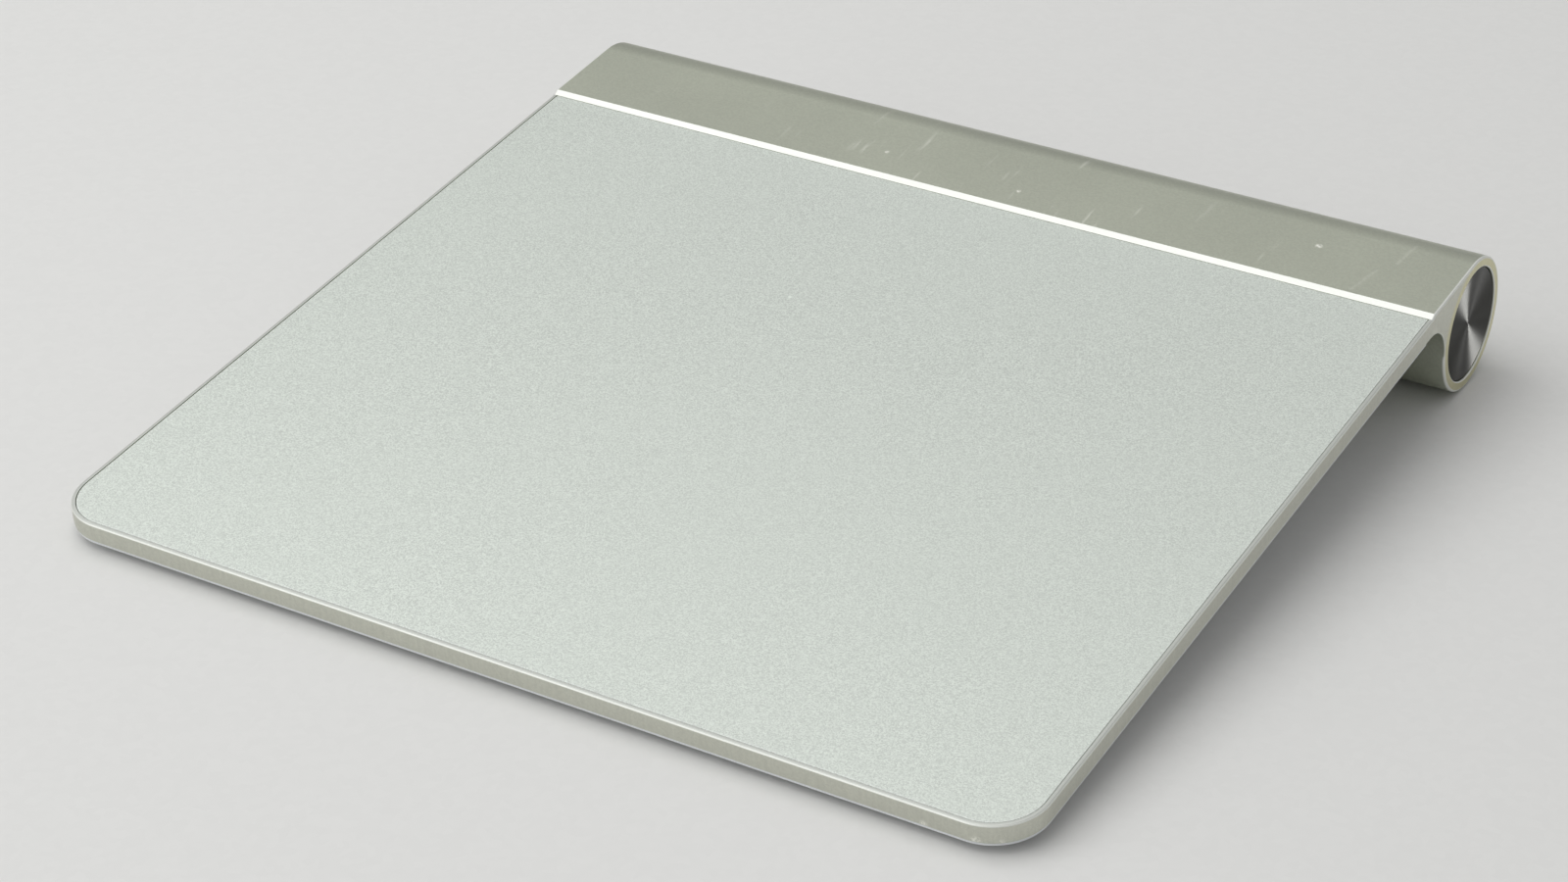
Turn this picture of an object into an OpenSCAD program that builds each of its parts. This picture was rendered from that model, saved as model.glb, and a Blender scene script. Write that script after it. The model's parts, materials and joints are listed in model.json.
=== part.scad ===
// Desk trackpad: an aluminium plate with a battery tube along its rear edge, a glass touch surface,
// a glued bottom cover, two clicking front feet, a round press button and a screw cap.
// Millimetres. +Z is up, +X is to the right, and the user sits at -Y. The origin lies on the desk,
// under the middle of the outline.

/* [Body] */
// Overall depth from the front edge to the back of the tube
body_d = 131.3; // [120:0.1:140]
// Angle between the touch surface and the desk, in degrees
tilt = 6.5; // [5:0.1:6.7]
// Radius of the two front corners
corner_r = 6.8; // [4:0.1:9]
// Wall of the battery tube
tube_wall = 1.35; // [1:0.05:1.8]
// Flat strip behind the touch surface, from the ridge to the middle of the tube
strip_w = 12.6; // [11:0.1:16]
// Height of that strip above the touch surface
strip_rise = 0.4; // [0.2:0.05:0.6]
// Length of the slope between the touch surface and the strip
ridge_run = 0.8; // [0.5:0.1:1.5]
// Metal rim around the glass
rim_w = 0.55; // [0.45:0.05:1]
// Polished chamfer along the upper edges
edge_chamfer = 0.25; // [0.1:0.05:0.4]
// Radius under the plate where it runs into the tube
fillet_r = 5.2; // [3:0.1:6]
// Metal left between the glass pocket and the pockets underneath
web_t = 0.45; // [0.35:0.05:0.8]

/* [Touch surface] */
// Thickness of the glass
glass_t = 0.7; // [0.5:0.05:1]
// Gap between the glass and its rim
glass_gap = 0.1; // [0.05:0.05:0.3]
// Thickness of the touch sensor laminated under the glass
sensor_t = 0.15; // [0.1:0.05:0.3]

/* [Bottom cover] */
// Thickness of the cover
cover_t = 0.35; // [0.3:0.05:0.6]
// How far the cover stays inside the outline of the plate
cover_inset = 0.15; // [0.05:0.05:0.5]
// Thickness of the tape that holds the cover
tape_t = 0.1; // [0.05:0.05:0.2]
// Metal land behind the board pocket that the tape sticks to
cover_seat = 1.5; // [1:0.1:3]

/* [Battery cells] */
// Diameter of one cell
cell_d = 14.5; // [13.8:0.1:15]
// Length of one cell with its nub
cell_l = 50.5; // [40:0.1:60]
// Diameter of the nub
nub_d = 5.4; // [4.5:0.1:5.5]
// Height of the nub
nub_h = 1.2; // [1:0.1:1.5]
// Room around a cell
cell_clear = 0.3; // [0.2:0.05:0.5]

/* [Battery cap] */
// How deep the cap sits in the tube
cap_recess = 0.2; // [0:0.05:0.5]
// Thickness of the cap's head
cap_head_t = 1.8; // [1.6:0.1:2.5]
// Length of the threaded part behind the head
thread_l = 5.5; // [5.2:0.1:7]
// Wall of the threaded sleeve in the tube
collar_wall = 0.7; // [0.5:0.05:1]
// Wall of the hollow threaded part
thread_wall = 0.9; // [0.7:0.1:1.3]
// Width of the coin slot
coin_slot_w = 1.8; // [1.4:0.1:2.4]
// Length of the coin slot
coin_slot_l = 10; // [8:0.5:12]
// Depth of the coin slot in its middle
coin_slot_depth = 1.2; // [0.8:0.1:1.4]
// Length of the contact spring between the cap and the left cell
spring_l = 8.7; // [7:0.1:12]
// Wire of the contact spring
spring_wire = 0.6; // [0.4:0.1:0.8]
// Turns of the contact spring
spring_turns = 5; // [4:1:6]

/* [Power button] */
// How deep the button sits in the tube
button_recess = 0.2; // [0:0.05:0.5]
// Thickness of the button's head
button_t = 2.2; // [1.6:0.1:3]
// Depth of the hollow in the button and in the cap
face_dish = 0.3; // [0.1:0.05:0.5]
// Gap between the button or the cap and the tube
head_gap = 0.1; // [0.05:0.01:0.2]
// Travel of the button
button_travel = 0.4; // [0.2:0.05:0.6]
// Diameter of the button's stem
stem_d = 4; // [3.4:0.1:5]

/* [Switch module] */
// Length of the plastic housing that carries the power switch
housing_l = 12; // [11.5:0.5:14]
// Wall of that housing
housing_wall = 1; // [0.8:0.1:1.4]
// Side of the square power switch
switch_w = 6; // [5:0.5:7]
// Height of the power switch without its plunger
switch_h = 2.5; // [2.2:0.1:3]
// Thickness of the contact for the front nub
contact_t = 0.3; // [0.2:0.05:0.5]

/* [Feet] */
// How far the rear feet stand out below the tube
rear_foot_h = 0.3; // [0.2:0.05:0.8]
// Depth of the groove that holds a rear foot
rear_foot_seat = 0.4; // [0.3:0.05:0.6]
// Length of a rear foot
rear_foot_l = 24; // [12:1:40]
// Width of a rear foot
rear_foot_w = 4; // [3:0.2:4.6]
// Distance from the side of the body to the middle of a rear foot
rear_foot_side = 20; // [20:1:40]
// Diameter of a front foot
front_foot_d = 8.4; // [6:0.2:9]
// Distance from the front edge to the middle of a front foot
front_foot_inset = 9; // [8.8:0.1:14]
// Distance from the side of the body to the middle of a front foot
front_foot_side = 11; // [9:0.5:16]
// Height of the snap dome, which is also the travel of a front foot
dome_h = 0.25; // [0.15:0.05:0.3]
// Width of the flange that keeps a front foot behind the cover
flange_w = 1.8; // [1.4:0.1:2]
// Thickness of that flange
flange_t = 0.4; // [0.3:0.05:0.45]

/* [Electronics] */
// Width of the main board
board_w = 100; // [90:1:112]
// Depth of the main board
board_d = 25; // [22:0.5:40]
// Thickness of the main board
board_t = 0.4; // [0.3:0.05:0.6]
// Insulating film between the board and the metal
film_t = 0.1; // [0.05:0.05:0.2]
// Height of the chips
chip_h = 0.5; // [0.45:0.05:0.7]
// Air between the chips and the tape
chip_air = 0.1; // [0.05:0.05:0.2]
// Thickness of the flexible ribbons
ribbon_t = 0.15; // [0.1:0.05:0.2]
// Width of the ribbon to a front foot
tail_w = 3; // [2:0.5:4]

/* [Hidden] */
$fn = 96;

// How far cutting shapes run past the faces that they cut
over = 0.3;
// Play between parts that slide into each other or that are glued in
fit_gap = 0.04;
// Play between parts that only lie against each other across a joint
rest_gap = 0.02;
// Side play of boards in their pockets
pocket_gap = 0.3;

// What lies end to end in the tube, from the cap to the button, gives the overall width
spring_seat_depth = 3;
contact_dimple_h = 0.3;
cap_end_l = cap_recess + cap_head_t + thread_l - spring_seat_depth + 4 * rest_gap;
contact_end_l = contact_t + contact_dimple_h + rest_gap;
button_end_l = housing_l + pocket_gap + button_travel + button_t + button_recess;
body_w = cap_end_l + spring_l + 2 * cell_l + contact_end_l + button_end_l;
side_x = body_w / 2;

// Tube
bore_d = cell_d + 2 * cell_clear;
tube_r = bore_d / 2 + tube_wall;
tube_y = body_d / 2 - tube_r;
tube_z = rear_foot_h + tube_r;
bore_chamfer = 0.15;

// Heights in the plate's own frame, which is tilted and has the tube's axis as its x axis
glass_top = tube_r - strip_rise;
pocket_floor = glass_top - glass_t - sensor_t;
ceiling = pocket_floor - web_t;
board_top = ceiling - film_t;
board_low = board_top - board_t;
chip_low = board_low - chip_h;
underside = chip_low - chip_air;
cover_top = underside - tape_t;
cover_low = cover_top - cover_t;

// Lengths in the plate's own frame: the tube's axis is at 0 and the front edge at -plate_l
plate_l = (body_d - tube_r - (glass_top - edge_chamfer) * sin(tilt)) / cos(tilt);
ridge_top_y = -strip_w;
ridge_foot_y = -strip_w - ridge_run;
fillet_z = underside - fillet_r;
fillet_y = -sqrt(pow(tube_r + fillet_r, 2) - pow(fillet_z, 2));
fillet_on_tube = [fillet_y, fillet_z] * tube_r / (tube_r + fillet_r);
fillet_angle = atan2(fillet_on_tube[0], -fillet_on_tube[1]);

// Button, its guide and the switch behind it, from the right end inwards
head_d = bore_d - 2 * head_gap;
button_face_x = side_x - button_recess;
guide_face_x = button_face_x - button_t - button_travel - pocket_gap;
guide_t = 2;
housing_x = guide_face_x - housing_l;
housing_floor = 1.4;
housing_bore_d = bore_d - 2 * fit_gap - 2 * housing_wall;
switch_board_t = 0.8;
switch_board_x = housing_x + housing_floor;
switch_x = switch_board_x + switch_board_t;
plunger_d = 3;
plunger_out = 0.9;
plunger_in = 0.5;
plunger_tip_x = switch_x + switch_h + plunger_out;
clip_t = 0.4;
clip_d = 7;
clip_groove = 0.4;
clip_groove_d = stem_d - 2 * clip_groove;
clip_x = guide_face_x - guide_t - rest_gap - clip_t;

// Main board, whose right end lies a little past the ribbon of the power switch
power_ribbon_w = 3.6;
board_side = 1.3;
board_x = switch_x + power_ribbon_w + board_side - board_w / 2;
board_rear_y = fillet_y - cover_seat - pocket_gap;
board_front_y = board_rear_y - board_d;
board_mid_y = (board_front_y + board_rear_y) / 2;
board_corner_r = 1.5;

// Screws near the corners of the board, in bosses that stand down from the metal
screw_side = 12;
screw_edge = 3;
screw_place = [board_w / 2 - screw_side, board_d / 2 - screw_edge];
screw_d = 1;
screw_skin = 0.15;
screw_top = pocket_floor - screw_skin;
screw_head_d = 3.4;
screw_head_h = 0.35;
boss_d = 2.4;
boss_low = board_low + rest_gap;

// Packages under the board, with their places from the middle of the board
package_gap = 3;
package_y = 1;
touch_chip_w = 7;
touch_chip_place = [-0.28 * board_w, package_y];
radio_chip_w = 5;
radio_chip_place = [0.2 * board_w, package_y];
crystal_size = [3.2, 2.5];
crystal_place = radio_chip_place + [(radio_chip_w + crystal_size[0]) / 2 + package_gap, 0];
antenna_size = [8, 2];
antenna_edge = 3.5;
antenna_place = [0.25 * board_w, antenna_edge - board_d / 2];
passive_size = [1, 0.5];
passive_h = 0.35;
passive_pitch = 1.6;
passive_count = 6;
passive_row = 6;

// Ribbon from the touch sensor, which passes through a slot in the metal and in the board
sensor_tail_w = 14;
sensor_slot_side = 1;
sensor_slot_w = sensor_tail_w + 2 * sensor_slot_side;
sensor_slot_d = 1.6;
sensor_slot_edge = 7;
sensor_slot_y = board_front_y + sensor_slot_edge;
sensor_tail_l = 5;
connector_d = 3;

// Indicator under the glass, in the rear right corner of the board
led_side = 3;
led_edge = 2;
led_place = [board_x + board_w / 2 - led_side, board_rear_y - led_edge];
led_size = [1, 0.6];
led_hole_d = 1.4;
led_h = film_t + web_t;

// Click feet and their ribbons, which end over the front corners of the board
foot_x = side_x - front_foot_side;
foot_y = front_foot_inset - plate_l;
foot_clear = 0.3;
foot_hole_d = front_foot_d + 2 * foot_clear;
flange_d = front_foot_d + 2 * flange_w;
flange_low = cover_top + rest_gap;
click_pocket_d = flange_d + 2 * pocket_gap;
click_disc_d = 8;
dome_d = 5;
dome_t = 0.1;
dome_flat_d = 2;
dome_top = ceiling - film_t - dome_h;
nub_tip_d = 2;
tail_side = 5;
tail_overlap = 2.5;
film_front_y = board_front_y + tail_overlap + pocket_gap;

// Rear feet
rear_foot_x = side_x - rear_foot_side;

// Ribbon from the switch board through the tube's wall to the main board
power_ribbon_lap = 4;
power_ribbon_end_y = board_rear_y - power_ribbon_lap;
power_ribbon_inner_y = -1;
power_ribbon_low = board_low - ribbon_t;
power_tab_w = 2.6;
power_tab_drop = 2.5;
power_tab_y = power_ribbon_inner_y - power_tab_w;
bore_over_tab = sqrt(pow(housing_bore_d / 2, 2) - pow(power_tab_y, 2));
housing_slot_low = min(power_ribbon_low, bore_over_tab) - pocket_gap;

// Cells, from the right contact to the left
contact_d = 9;
contact_dimple_d = 3;
contact_pin_d = 1;
cell_right_x = housing_x - contact_end_l - cell_l;
cell_left_x = cell_right_x - cell_l;
cell_edge = 0.5;

// Cap, from the left end inwards
cap_face_x = -side_x + cap_recess;
collar_d = bore_d - 2 * fit_gap;
thread_d = collar_d - 2 * collar_wall - 2 * head_gap;
thread_end_x = cap_face_x + cap_head_t + thread_l;
spring_seat_d = thread_d - 2 * thread_wall;
spring_r_cap = spring_seat_d / 2 - spring_wire;
spring_taper = 1.6;
spring_r_cell = spring_r_cap - spring_taper;
face_rim = 0.8;
face_dish_d = head_d - 2 * face_rim;
coin_r = (pow(coin_slot_l / 2, 2) + pow(coin_slot_depth, 2)) / (2 * coin_slot_depth);

// Colours
silver = [0.80, 0.81, 0.80];
spun_silver = [0.72, 0.71, 0.69];
glass_white = [0.86, 0.88, 0.87];
cover_white = [0.93, 0.93, 0.92];
rubber_grey = [0.45, 0.45, 0.46];
plastic_black = [0.12, 0.12, 0.13];
board_green = [0.10, 0.32, 0.20];
chip_black = [0.08, 0.08, 0.09];
ribbon_amber = [0.72, 0.45, 0.16];
steel = [0.66, 0.67, 0.68];
brass_gold = [0.80, 0.66, 0.36];
cell_wrap = [0.28, 0.30, 0.33];
tape_grey = [0.70, 0.71, 0.72];

// Places what is drawn in the plate's own frame
module on_plate() {
    translate([0, tube_y, tube_z]) rotate([tilt, 0, 0]) children();
}

// Turns what is drawn along z so that it runs along x to the right from the given place
module to_right(x) {
    translate([x, 0, 0]) rotate([0, 90, 0]) children();
}

// Turns what is drawn along z so that it runs along x to the left from the given place
module to_left(x) {
    translate([x, 0, 0]) rotate([0, -90, 0]) children();
}

// Plate outline from above with two round front corners, moved inwards by inset, square at the rear
module plate_outline(inset, rear_y) {
    r = corner_r - inset;
    half_w = side_x - inset;
    front_y = inset - plate_l;
    translate([r - half_w, front_y]) square([2 * (half_w - r), rear_y - front_y]);
    translate([-half_w, front_y + r]) square([2 * half_w, rear_y - front_y - r]);
    for (side = [-1, 1]) translate([side * (half_w - r), front_y + r]) circle(r);
}

// Rectangle with round corners
module rounded_rectangle(w, d, r) {
    square([w - 2 * r, d], center = true);
    square([w, d - 2 * r], center = true);
    for (x = [-1, 1], y = [-1, 1]) translate([x * (w / 2 - r), y * (d / 2 - r)]) circle(r);
}

// Bar with half-round ends along x
module stadium(l, w) {
    square([l - w, w], center = true);
    for (side = [-1, 1]) translate([side * (l - w) / 2, 0]) circle(d = w);
}

// Main board from above, made larger all round by grow
module board_outline(grow) {
    translate([board_x, board_mid_y])
        rounded_rectangle(board_w + 2 * grow, board_d + 2 * grow, board_corner_r + grow);
}

// Middle of the front foot on the left (-1) or the right (1), as seen from above
function foot_place(side) = [side * foot_x, foot_y];

// Straight ribbon from a front foot to the main board, as seen from above
module tail_outline(side, w) {
    tail_end = [board_x + side * (board_w / 2 - tail_side), board_front_y + tail_overlap];
    run = tail_end - foot_place(side);
    translate(foot_place(side)) rotate(atan2(run[1], run[0]))
        translate([0, -w / 2]) square([norm(run), w]);
}

// All pockets on the underside, as seen from above
module pocket_outline() {
    board_outline(pocket_gap);
    for (side = [-1, 1]) {
        translate(foot_place(side)) circle(d = click_pocket_d);
        tail_outline(side, tail_w + 2 * pocket_gap);
    }
}

// Screw places near the corners of the board
module at_board_screws() {
    for (x = [-1, 1], y = [-1, 1])
        translate([board_x + x * screw_place[0], board_mid_y + y * screw_place[1]]) children();
}

// Section across the tube, the strip in front of it and the round underneath, in y and z
module tube_section() {
    circle(tube_r);
    polygon([[ridge_foot_y, underside], [ridge_foot_y, glass_top], [ridge_top_y, tube_r],
             [0, tube_r], [0, underside]]);
    difference() {
        polygon([[fillet_y, underside], fillet_on_tube, [0, 0], [0, underside]]);
        translate([fillet_y, fillet_z]) circle(fillet_r);
    }
}

// Triangle that takes a chamfer off an edge at the given distance, below the plane y = 0
module chamfer_section(edge) {
    polygon([[edge - edge_chamfer - over, over], [edge + over, over],
             [edge + over, -edge_chamfer - over]]);
}

// Chamfers along the front edge and the two front corners
module front_chamfers() {
    translate([side_x - corner_r, 0, glass_top])
        rotate([90, 0, -90]) linear_extrude(body_w - 2 * corner_r) chamfer_section(plate_l);
    for (side = [0, 1]) mirror([side, 0, 0])
        translate([side_x - corner_r, corner_r - plate_l, glass_top])
            rotate_extrude(angle = 90, start = -90) chamfer_section(corner_r);
}

// Chamfers along one side: beside the glass, beside the strip and round the end of the tube
module side_chamfers() {
    translate([0, ridge_foot_y, glass_top])
        rotate([90, 0, 0]) linear_extrude(plate_l + ridge_foot_y - corner_r) chamfer_section(side_x);
    translate([0, 0, tube_r])
        rotate([90, 0, 0]) linear_extrude(strip_w) chamfer_section(side_x);
    to_right(side_x)
        rotate_extrude(angle = 180 - fillet_angle, start = fillet_angle) chamfer_section(tube_r);
    to_right(side_x - bore_chamfer)
        cylinder(d1 = bore_d, d2 = bore_d + 2 * (bore_chamfer + over), h = bore_chamfer + over);
}

// Hole in the tube's wall for the ribbon of the power switch
module power_ribbon_slot() {
    translate([switch_x - pocket_gap, board_rear_y, power_ribbon_low - pocket_gap])
        cube([power_ribbon_w + 2 * pocket_gap, -board_rear_y, ribbon_t + 2 * pocket_gap]);
}

module body_shell() {
    color(silver) difference() {
        on_plate() difference() {
            union() {
                translate([-side_x, 0, 0]) rotate([90, 0, 90]) linear_extrude(body_w) tube_section();
                translate([0, 0, underside])
                    linear_extrude(glass_top - underside) plate_outline(0, 0);
            }
            to_right(-side_x - over) cylinder(d = bore_d, h = body_w + 2 * over);
            translate([0, 0, pocket_floor])
                linear_extrude(tube_r) plate_outline(rim_w, ridge_foot_y);
            difference() {
                translate([0, 0, underside - over])
                    linear_extrude(ceiling - underside + over) pocket_outline();
                translate([0, 0, boss_low]) linear_extrude(ceiling - boss_low + over)
                    at_board_screws() circle(d = boss_d);
            }
            translate([0, 0, boss_low - over]) linear_extrude(screw_top - boss_low + over)
                at_board_screws() circle(d = screw_d + 2 * fit_gap);
            translate([0, sensor_slot_y, ceiling - over])
                linear_extrude(web_t + 2 * over) square([sensor_slot_w, sensor_slot_d], center = true);
            translate([led_place[0], led_place[1], ceiling - over])
                cylinder(d = led_hole_d, h = web_t + 2 * over);
            power_ribbon_slot();
            front_chamfers();
            for (side = [0, 1]) mirror([side, 0, 0]) side_chamfers();
        }
        for (side = [-1, 1]) translate([side * rear_foot_x, tube_y, -over])
            linear_extrude(rear_foot_h + rear_foot_seat + over)
                stadium(rear_foot_l + 2 * fit_gap, rear_foot_w + 2 * fit_gap);
    }
}

module touch_glass() {
    color(glass_white) on_plate() translate([0, 0, pocket_floor + sensor_t])
        linear_extrude(glass_t) plate_outline(rim_w + glass_gap, ridge_foot_y - glass_gap);
}

module touch_sensor() {
    sensor_margin = 0.6;
    color(ribbon_amber) on_plate() translate([0, 0, pocket_floor]) linear_extrude(sensor_t) difference() {
        plate_outline(rim_w + sensor_margin, ridge_foot_y - sensor_margin);
        translate(led_place) circle(d = led_hole_d);
    }
}

// Tail of the touch sensor: down through the slot, then along the underside of the board
module sensor_ribbon() {
    color(ribbon_amber) on_plate() translate([-sensor_tail_w / 2, sensor_slot_y, 0]) {
        translate([0, 0, board_low - ribbon_t])
            cube([sensor_tail_w, ribbon_t, pocket_floor - board_low + ribbon_t]);
        translate([0, 0, board_low - ribbon_t]) cube([sensor_tail_w, sensor_tail_l, ribbon_t]);
    }
}

module ribbon_connector() {
    color(cover_white) on_plate()
        translate([-sensor_slot_w / 2, sensor_slot_y + sensor_tail_l, chip_low])
            cube([sensor_slot_w, connector_d, chip_h]);
}

// Film over the board, with holes for the screws, the sensor ribbon and the indicator
module board_film() {
    film_d = board_rear_y - film_front_y;
    color(plastic_black) on_plate() translate([0, 0, board_top]) linear_extrude(film_t) difference() {
        translate([board_x, film_front_y + film_d / 2])
            rounded_rectangle(board_w, film_d, board_corner_r);
        at_board_screws() circle(d = boss_d + 2 * fit_gap);
        translate([0, sensor_slot_y]) square([sensor_slot_w, sensor_slot_d], center = true);
        translate(led_place) circle(d = led_hole_d);
    }
}

module main_board() {
    color(board_green) on_plate() translate([0, 0, board_low]) linear_extrude(board_t) difference() {
        board_outline(0);
        at_board_screws() circle(d = boss_d + 2 * fit_gap);
        translate([0, sensor_slot_y]) square([sensor_slot_w, sensor_slot_d], center = true);
    }
}

// Flat package on the underside of the board, at a place given from the middle of the board
module board_package(place, size, h) {
    on_plate() translate([board_x + place[0], board_mid_y + place[1], board_low - h])
        linear_extrude(h) square(size, center = true);
}

module touch_chip() {
    color(chip_black) board_package(touch_chip_place, [touch_chip_w, touch_chip_w], chip_h);
}

module radio_chip() {
    color(chip_black) board_package(radio_chip_place, [radio_chip_w, radio_chip_w], chip_h);
}

module clock_crystal() {
    color(steel) board_package(crystal_place, crystal_size, chip_h);
}

module antenna() {
    color(cover_white) board_package(antenna_place, antenna_size, chip_h);
}

// Rows of small resistors and capacitors in front of and behind both chips
module board_passives() {
    row_start = -(passive_count - 1) / 2 * passive_pitch;
    color(tape_grey) for (chip = [touch_chip_place, radio_chip_place], row = [-1, 1])
        for (step = [0 : passive_count - 1])
            board_package(chip + [row_start + step * passive_pitch, row * passive_row],
                          passive_size, passive_h);
}

module indicator_led() {
    color(cover_white) on_plate() translate([led_place[0], led_place[1], board_top])
        linear_extrude(led_h) square(led_size, center = true);
}

module board_screws() {
    color(steel) on_plate() {
        translate([0, 0, board_low - screw_head_h])
            linear_extrude(screw_head_h) at_board_screws() circle(d = screw_head_d);
        translate([0, 0, board_low])
            linear_extrude(screw_top - fit_gap - board_low) at_board_screws() circle(d = screw_d);
    }
}

// Flexible circuit of one click switch with its tail to the main board
module click_flex(side) {
    color(ribbon_amber) on_plate() translate([0, 0, board_top]) linear_extrude(film_t) {
        translate(foot_place(side)) circle(d = click_disc_d);
        tail_outline(side, tail_w);
    }
}

// Snap dome: a thin metal cone with a flat top and its rim on the flexible circuit
module click_dome(side) {
    rim_r = dome_d / 2;
    top_r = dome_flat_d / 2;
    color(steel) on_plate() translate([side * foot_x, foot_y, dome_top]) rotate_extrude()
        polygon([[0, 0], [top_r, 0], [rim_r, dome_h - dome_t], [rim_r, dome_h],
                 [top_r, dome_t], [0, dome_t]]);
}

// Stiff plate that carries a front foot, with the tip that pushes the dome
module foot_plunger(side) {
    color(plastic_black) on_plate() translate([side * foot_x, foot_y, flange_low]) {
        cylinder(d = flange_d, h = flange_t);
        cylinder(d = nub_tip_d, h = dome_top - rest_gap - flange_low);
    }
}

// Rubber foot below the plunger, cut level with the desk
module front_foot(side) {
    color(rubber_grey) intersection() {
        on_plate() translate([side * foot_x, foot_y, 0])
            cylinder(d = front_foot_d, h = flange_low);
        translate([-side_x, -body_d / 2, 0]) cube([body_w, body_d, tube_z]);
    }
}

module rear_foot(side) {
    color(rubber_grey) translate([side * rear_foot_x, tube_y, 0])
        linear_extrude(rear_foot_h + rear_foot_seat) stadium(rear_foot_l, rear_foot_w);
}

// Tape between the plate and the cover, left out under the pockets
module cover_tape() {
    tape_inset = 0.4;
    color(tape_grey) on_plate() translate([0, 0, cover_top]) linear_extrude(tape_t) difference() {
        plate_outline(tape_inset, fillet_y - tape_inset);
        pocket_outline();
    }
}

module bottom_cover() {
    color(cover_white) on_plate() translate([0, 0, cover_low]) linear_extrude(cover_t) difference() {
        plate_outline(cover_inset, fillet_y - cover_inset);
        for (side = [-1, 1]) translate([side * foot_x, foot_y]) circle(d = foot_hole_d);
    }
}

// One cell from its flat end at x to the tip of its nub
module cell(x) {
    can_l = cell_l - nub_h;
    color(cell_wrap) on_plate() to_right(x) rotate_extrude()
        polygon([[0, 0], [cell_d / 2 - cell_edge, 0], [cell_d / 2, cell_edge],
                 [cell_d / 2, can_l - cell_edge], [cell_d / 2 - cell_edge, can_l],
                 [nub_d / 2, can_l], [nub_d / 2, cell_l], [0, cell_l]]);
}

module cap_collar() {
    color(brass_gold) on_plate() to_right(cap_face_x + cap_head_t + head_gap) difference() {
        cylinder(d = collar_d, h = thread_l);
        translate([0, 0, -over]) cylinder(d = collar_d - 2 * collar_wall, h = thread_l + 2 * over);
    }
}

// Shallow hollow in a round head whose face lies at z = 0
module face_hollow() {
    dish_sphere_r = (pow(face_dish_d / 2, 2) + pow(face_dish, 2)) / (2 * face_dish);
    translate([0, 0, dish_sphere_r - face_dish]) sphere(dish_sphere_r);
}

module battery_cap() {
    color(spun_silver) on_plate() to_left(cap_face_x) difference() {
        union() {
            translate([0, 0, -cap_head_t]) cylinder(d = head_d, h = cap_head_t);
            translate([0, 0, -cap_head_t - thread_l]) cylinder(d = thread_d, h = thread_l + over);
        }
        translate([0, 0, -cap_head_t - thread_l - over])
            cylinder(d = spring_seat_d, h = spring_seat_depth + over);
        face_hollow();
        translate([0, coin_slot_w / 2, coin_r - coin_slot_depth])
            rotate([90, 0, 0]) cylinder(r = coin_r, h = coin_slot_w);
    }
}

// Conical contact spring between the cap and the flat end of the left cell
module cap_spring() {
    steps_per_turn = 18;
    sides = 8;
    steps = spring_turns * steps_per_turn;
    wire_r = spring_wire / 2;
    rise = (spring_l - spring_wire) / steps;
    taper = (spring_r_cell - spring_r_cap) / steps;
    points = [for (step = [0 : steps], corner = [0 : sides - 1])
        let (turn = 360 * step / steps_per_turn, around = 360 * corner / sides)
        let (r = spring_r_cap + taper * step + wire_r * cos(around))
        [r * cos(turn), r * sin(turn), wire_r + rise * step + wire_r * sin(around)]];
    walls = [for (step = [0 : steps - 1], corner = [0 : sides - 1])
        let (a = step * sides + corner, b = step * sides + (corner + 1) % sides)
        each [[a, a + sides, b], [b, a + sides, b + sides]]];
    start_face = [for (corner = [0 : sides - 1]) corner];
    end_face = [for (corner = [sides - 1 : -1 : 0]) steps * sides + corner];
    color(steel) on_plate() to_right(thread_end_x - spring_seat_depth + 2 * rest_gap)
        polyhedron(points, concat(walls, [start_face, end_face]));
}

// Sleeve with a floor that holds the front contact, the switch board and the button's guide
module switch_housing() {
    color(plastic_black) on_plate() difference() {
        to_right(housing_x) difference() {
            cylinder(d = bore_d - 2 * fit_gap, h = housing_l);
            translate([0, 0, housing_floor]) cylinder(d = housing_bore_d, h = housing_l);
            translate([0, 0, -over]) cylinder(d = contact_pin_d + 2 * fit_gap, h = housing_floor + 2 * over);
        }
        translate([switch_x - pocket_gap, -tube_r, housing_slot_low])
            cube([power_ribbon_w + 2 * pocket_gap, tube_r + pocket_gap, tube_r]);
    }
}

// Contact disc with a raised dimple towards the cell and a pin through the housing's floor
module positive_contact() {
    color(brass_gold) on_plate() {
        to_left(housing_x) cylinder(d = contact_d, h = contact_t);
        to_left(housing_x - contact_t)
            cylinder(d1 = contact_dimple_d, d2 = contact_dimple_d / 2, h = contact_dimple_h);
        to_right(housing_x - contact_t) cylinder(d = contact_pin_d, h = contact_t + housing_floor);
    }
}

module switch_board() {
    color(board_green) on_plate() to_right(switch_board_x)
        cylinder(d = housing_bore_d - 2 * fit_gap, h = switch_board_t);
}

module power_switch() {
    color(plastic_black) on_plate() to_right(switch_x) difference() {
        linear_extrude(switch_h) square(switch_w, center = true);
        translate([0, 0, switch_h - plunger_in - button_travel - pocket_gap])
            cylinder(d = plunger_d + 2 * head_gap, h = switch_h);
    }
}

module switch_plunger() {
    color(cover_white) on_plate() to_left(plunger_tip_x)
        cylinder(d = plunger_d, h = plunger_out + plunger_in);
}

// Ribbon that lies under the main board, runs through the tube's wall and turns down on the switch board
module power_ribbon() {
    color(ribbon_amber) on_plate() {
        translate([switch_x, power_ribbon_end_y, power_ribbon_low])
            cube([power_ribbon_w, power_ribbon_inner_y - power_ribbon_end_y, ribbon_t]);
        translate([switch_x, power_tab_y, power_ribbon_low - power_tab_drop])
            cube([ribbon_t, power_tab_w, power_tab_drop + ribbon_t]);
    }
}

module button_guide() {
    color(plastic_black) on_plate() to_left(guide_face_x) difference() {
        cylinder(d = housing_bore_d - 2 * fit_gap, h = guide_t);
        translate([0, 0, -over]) cylinder(d = stem_d + 2 * head_gap, h = guide_t + 2 * over);
    }
}

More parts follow.
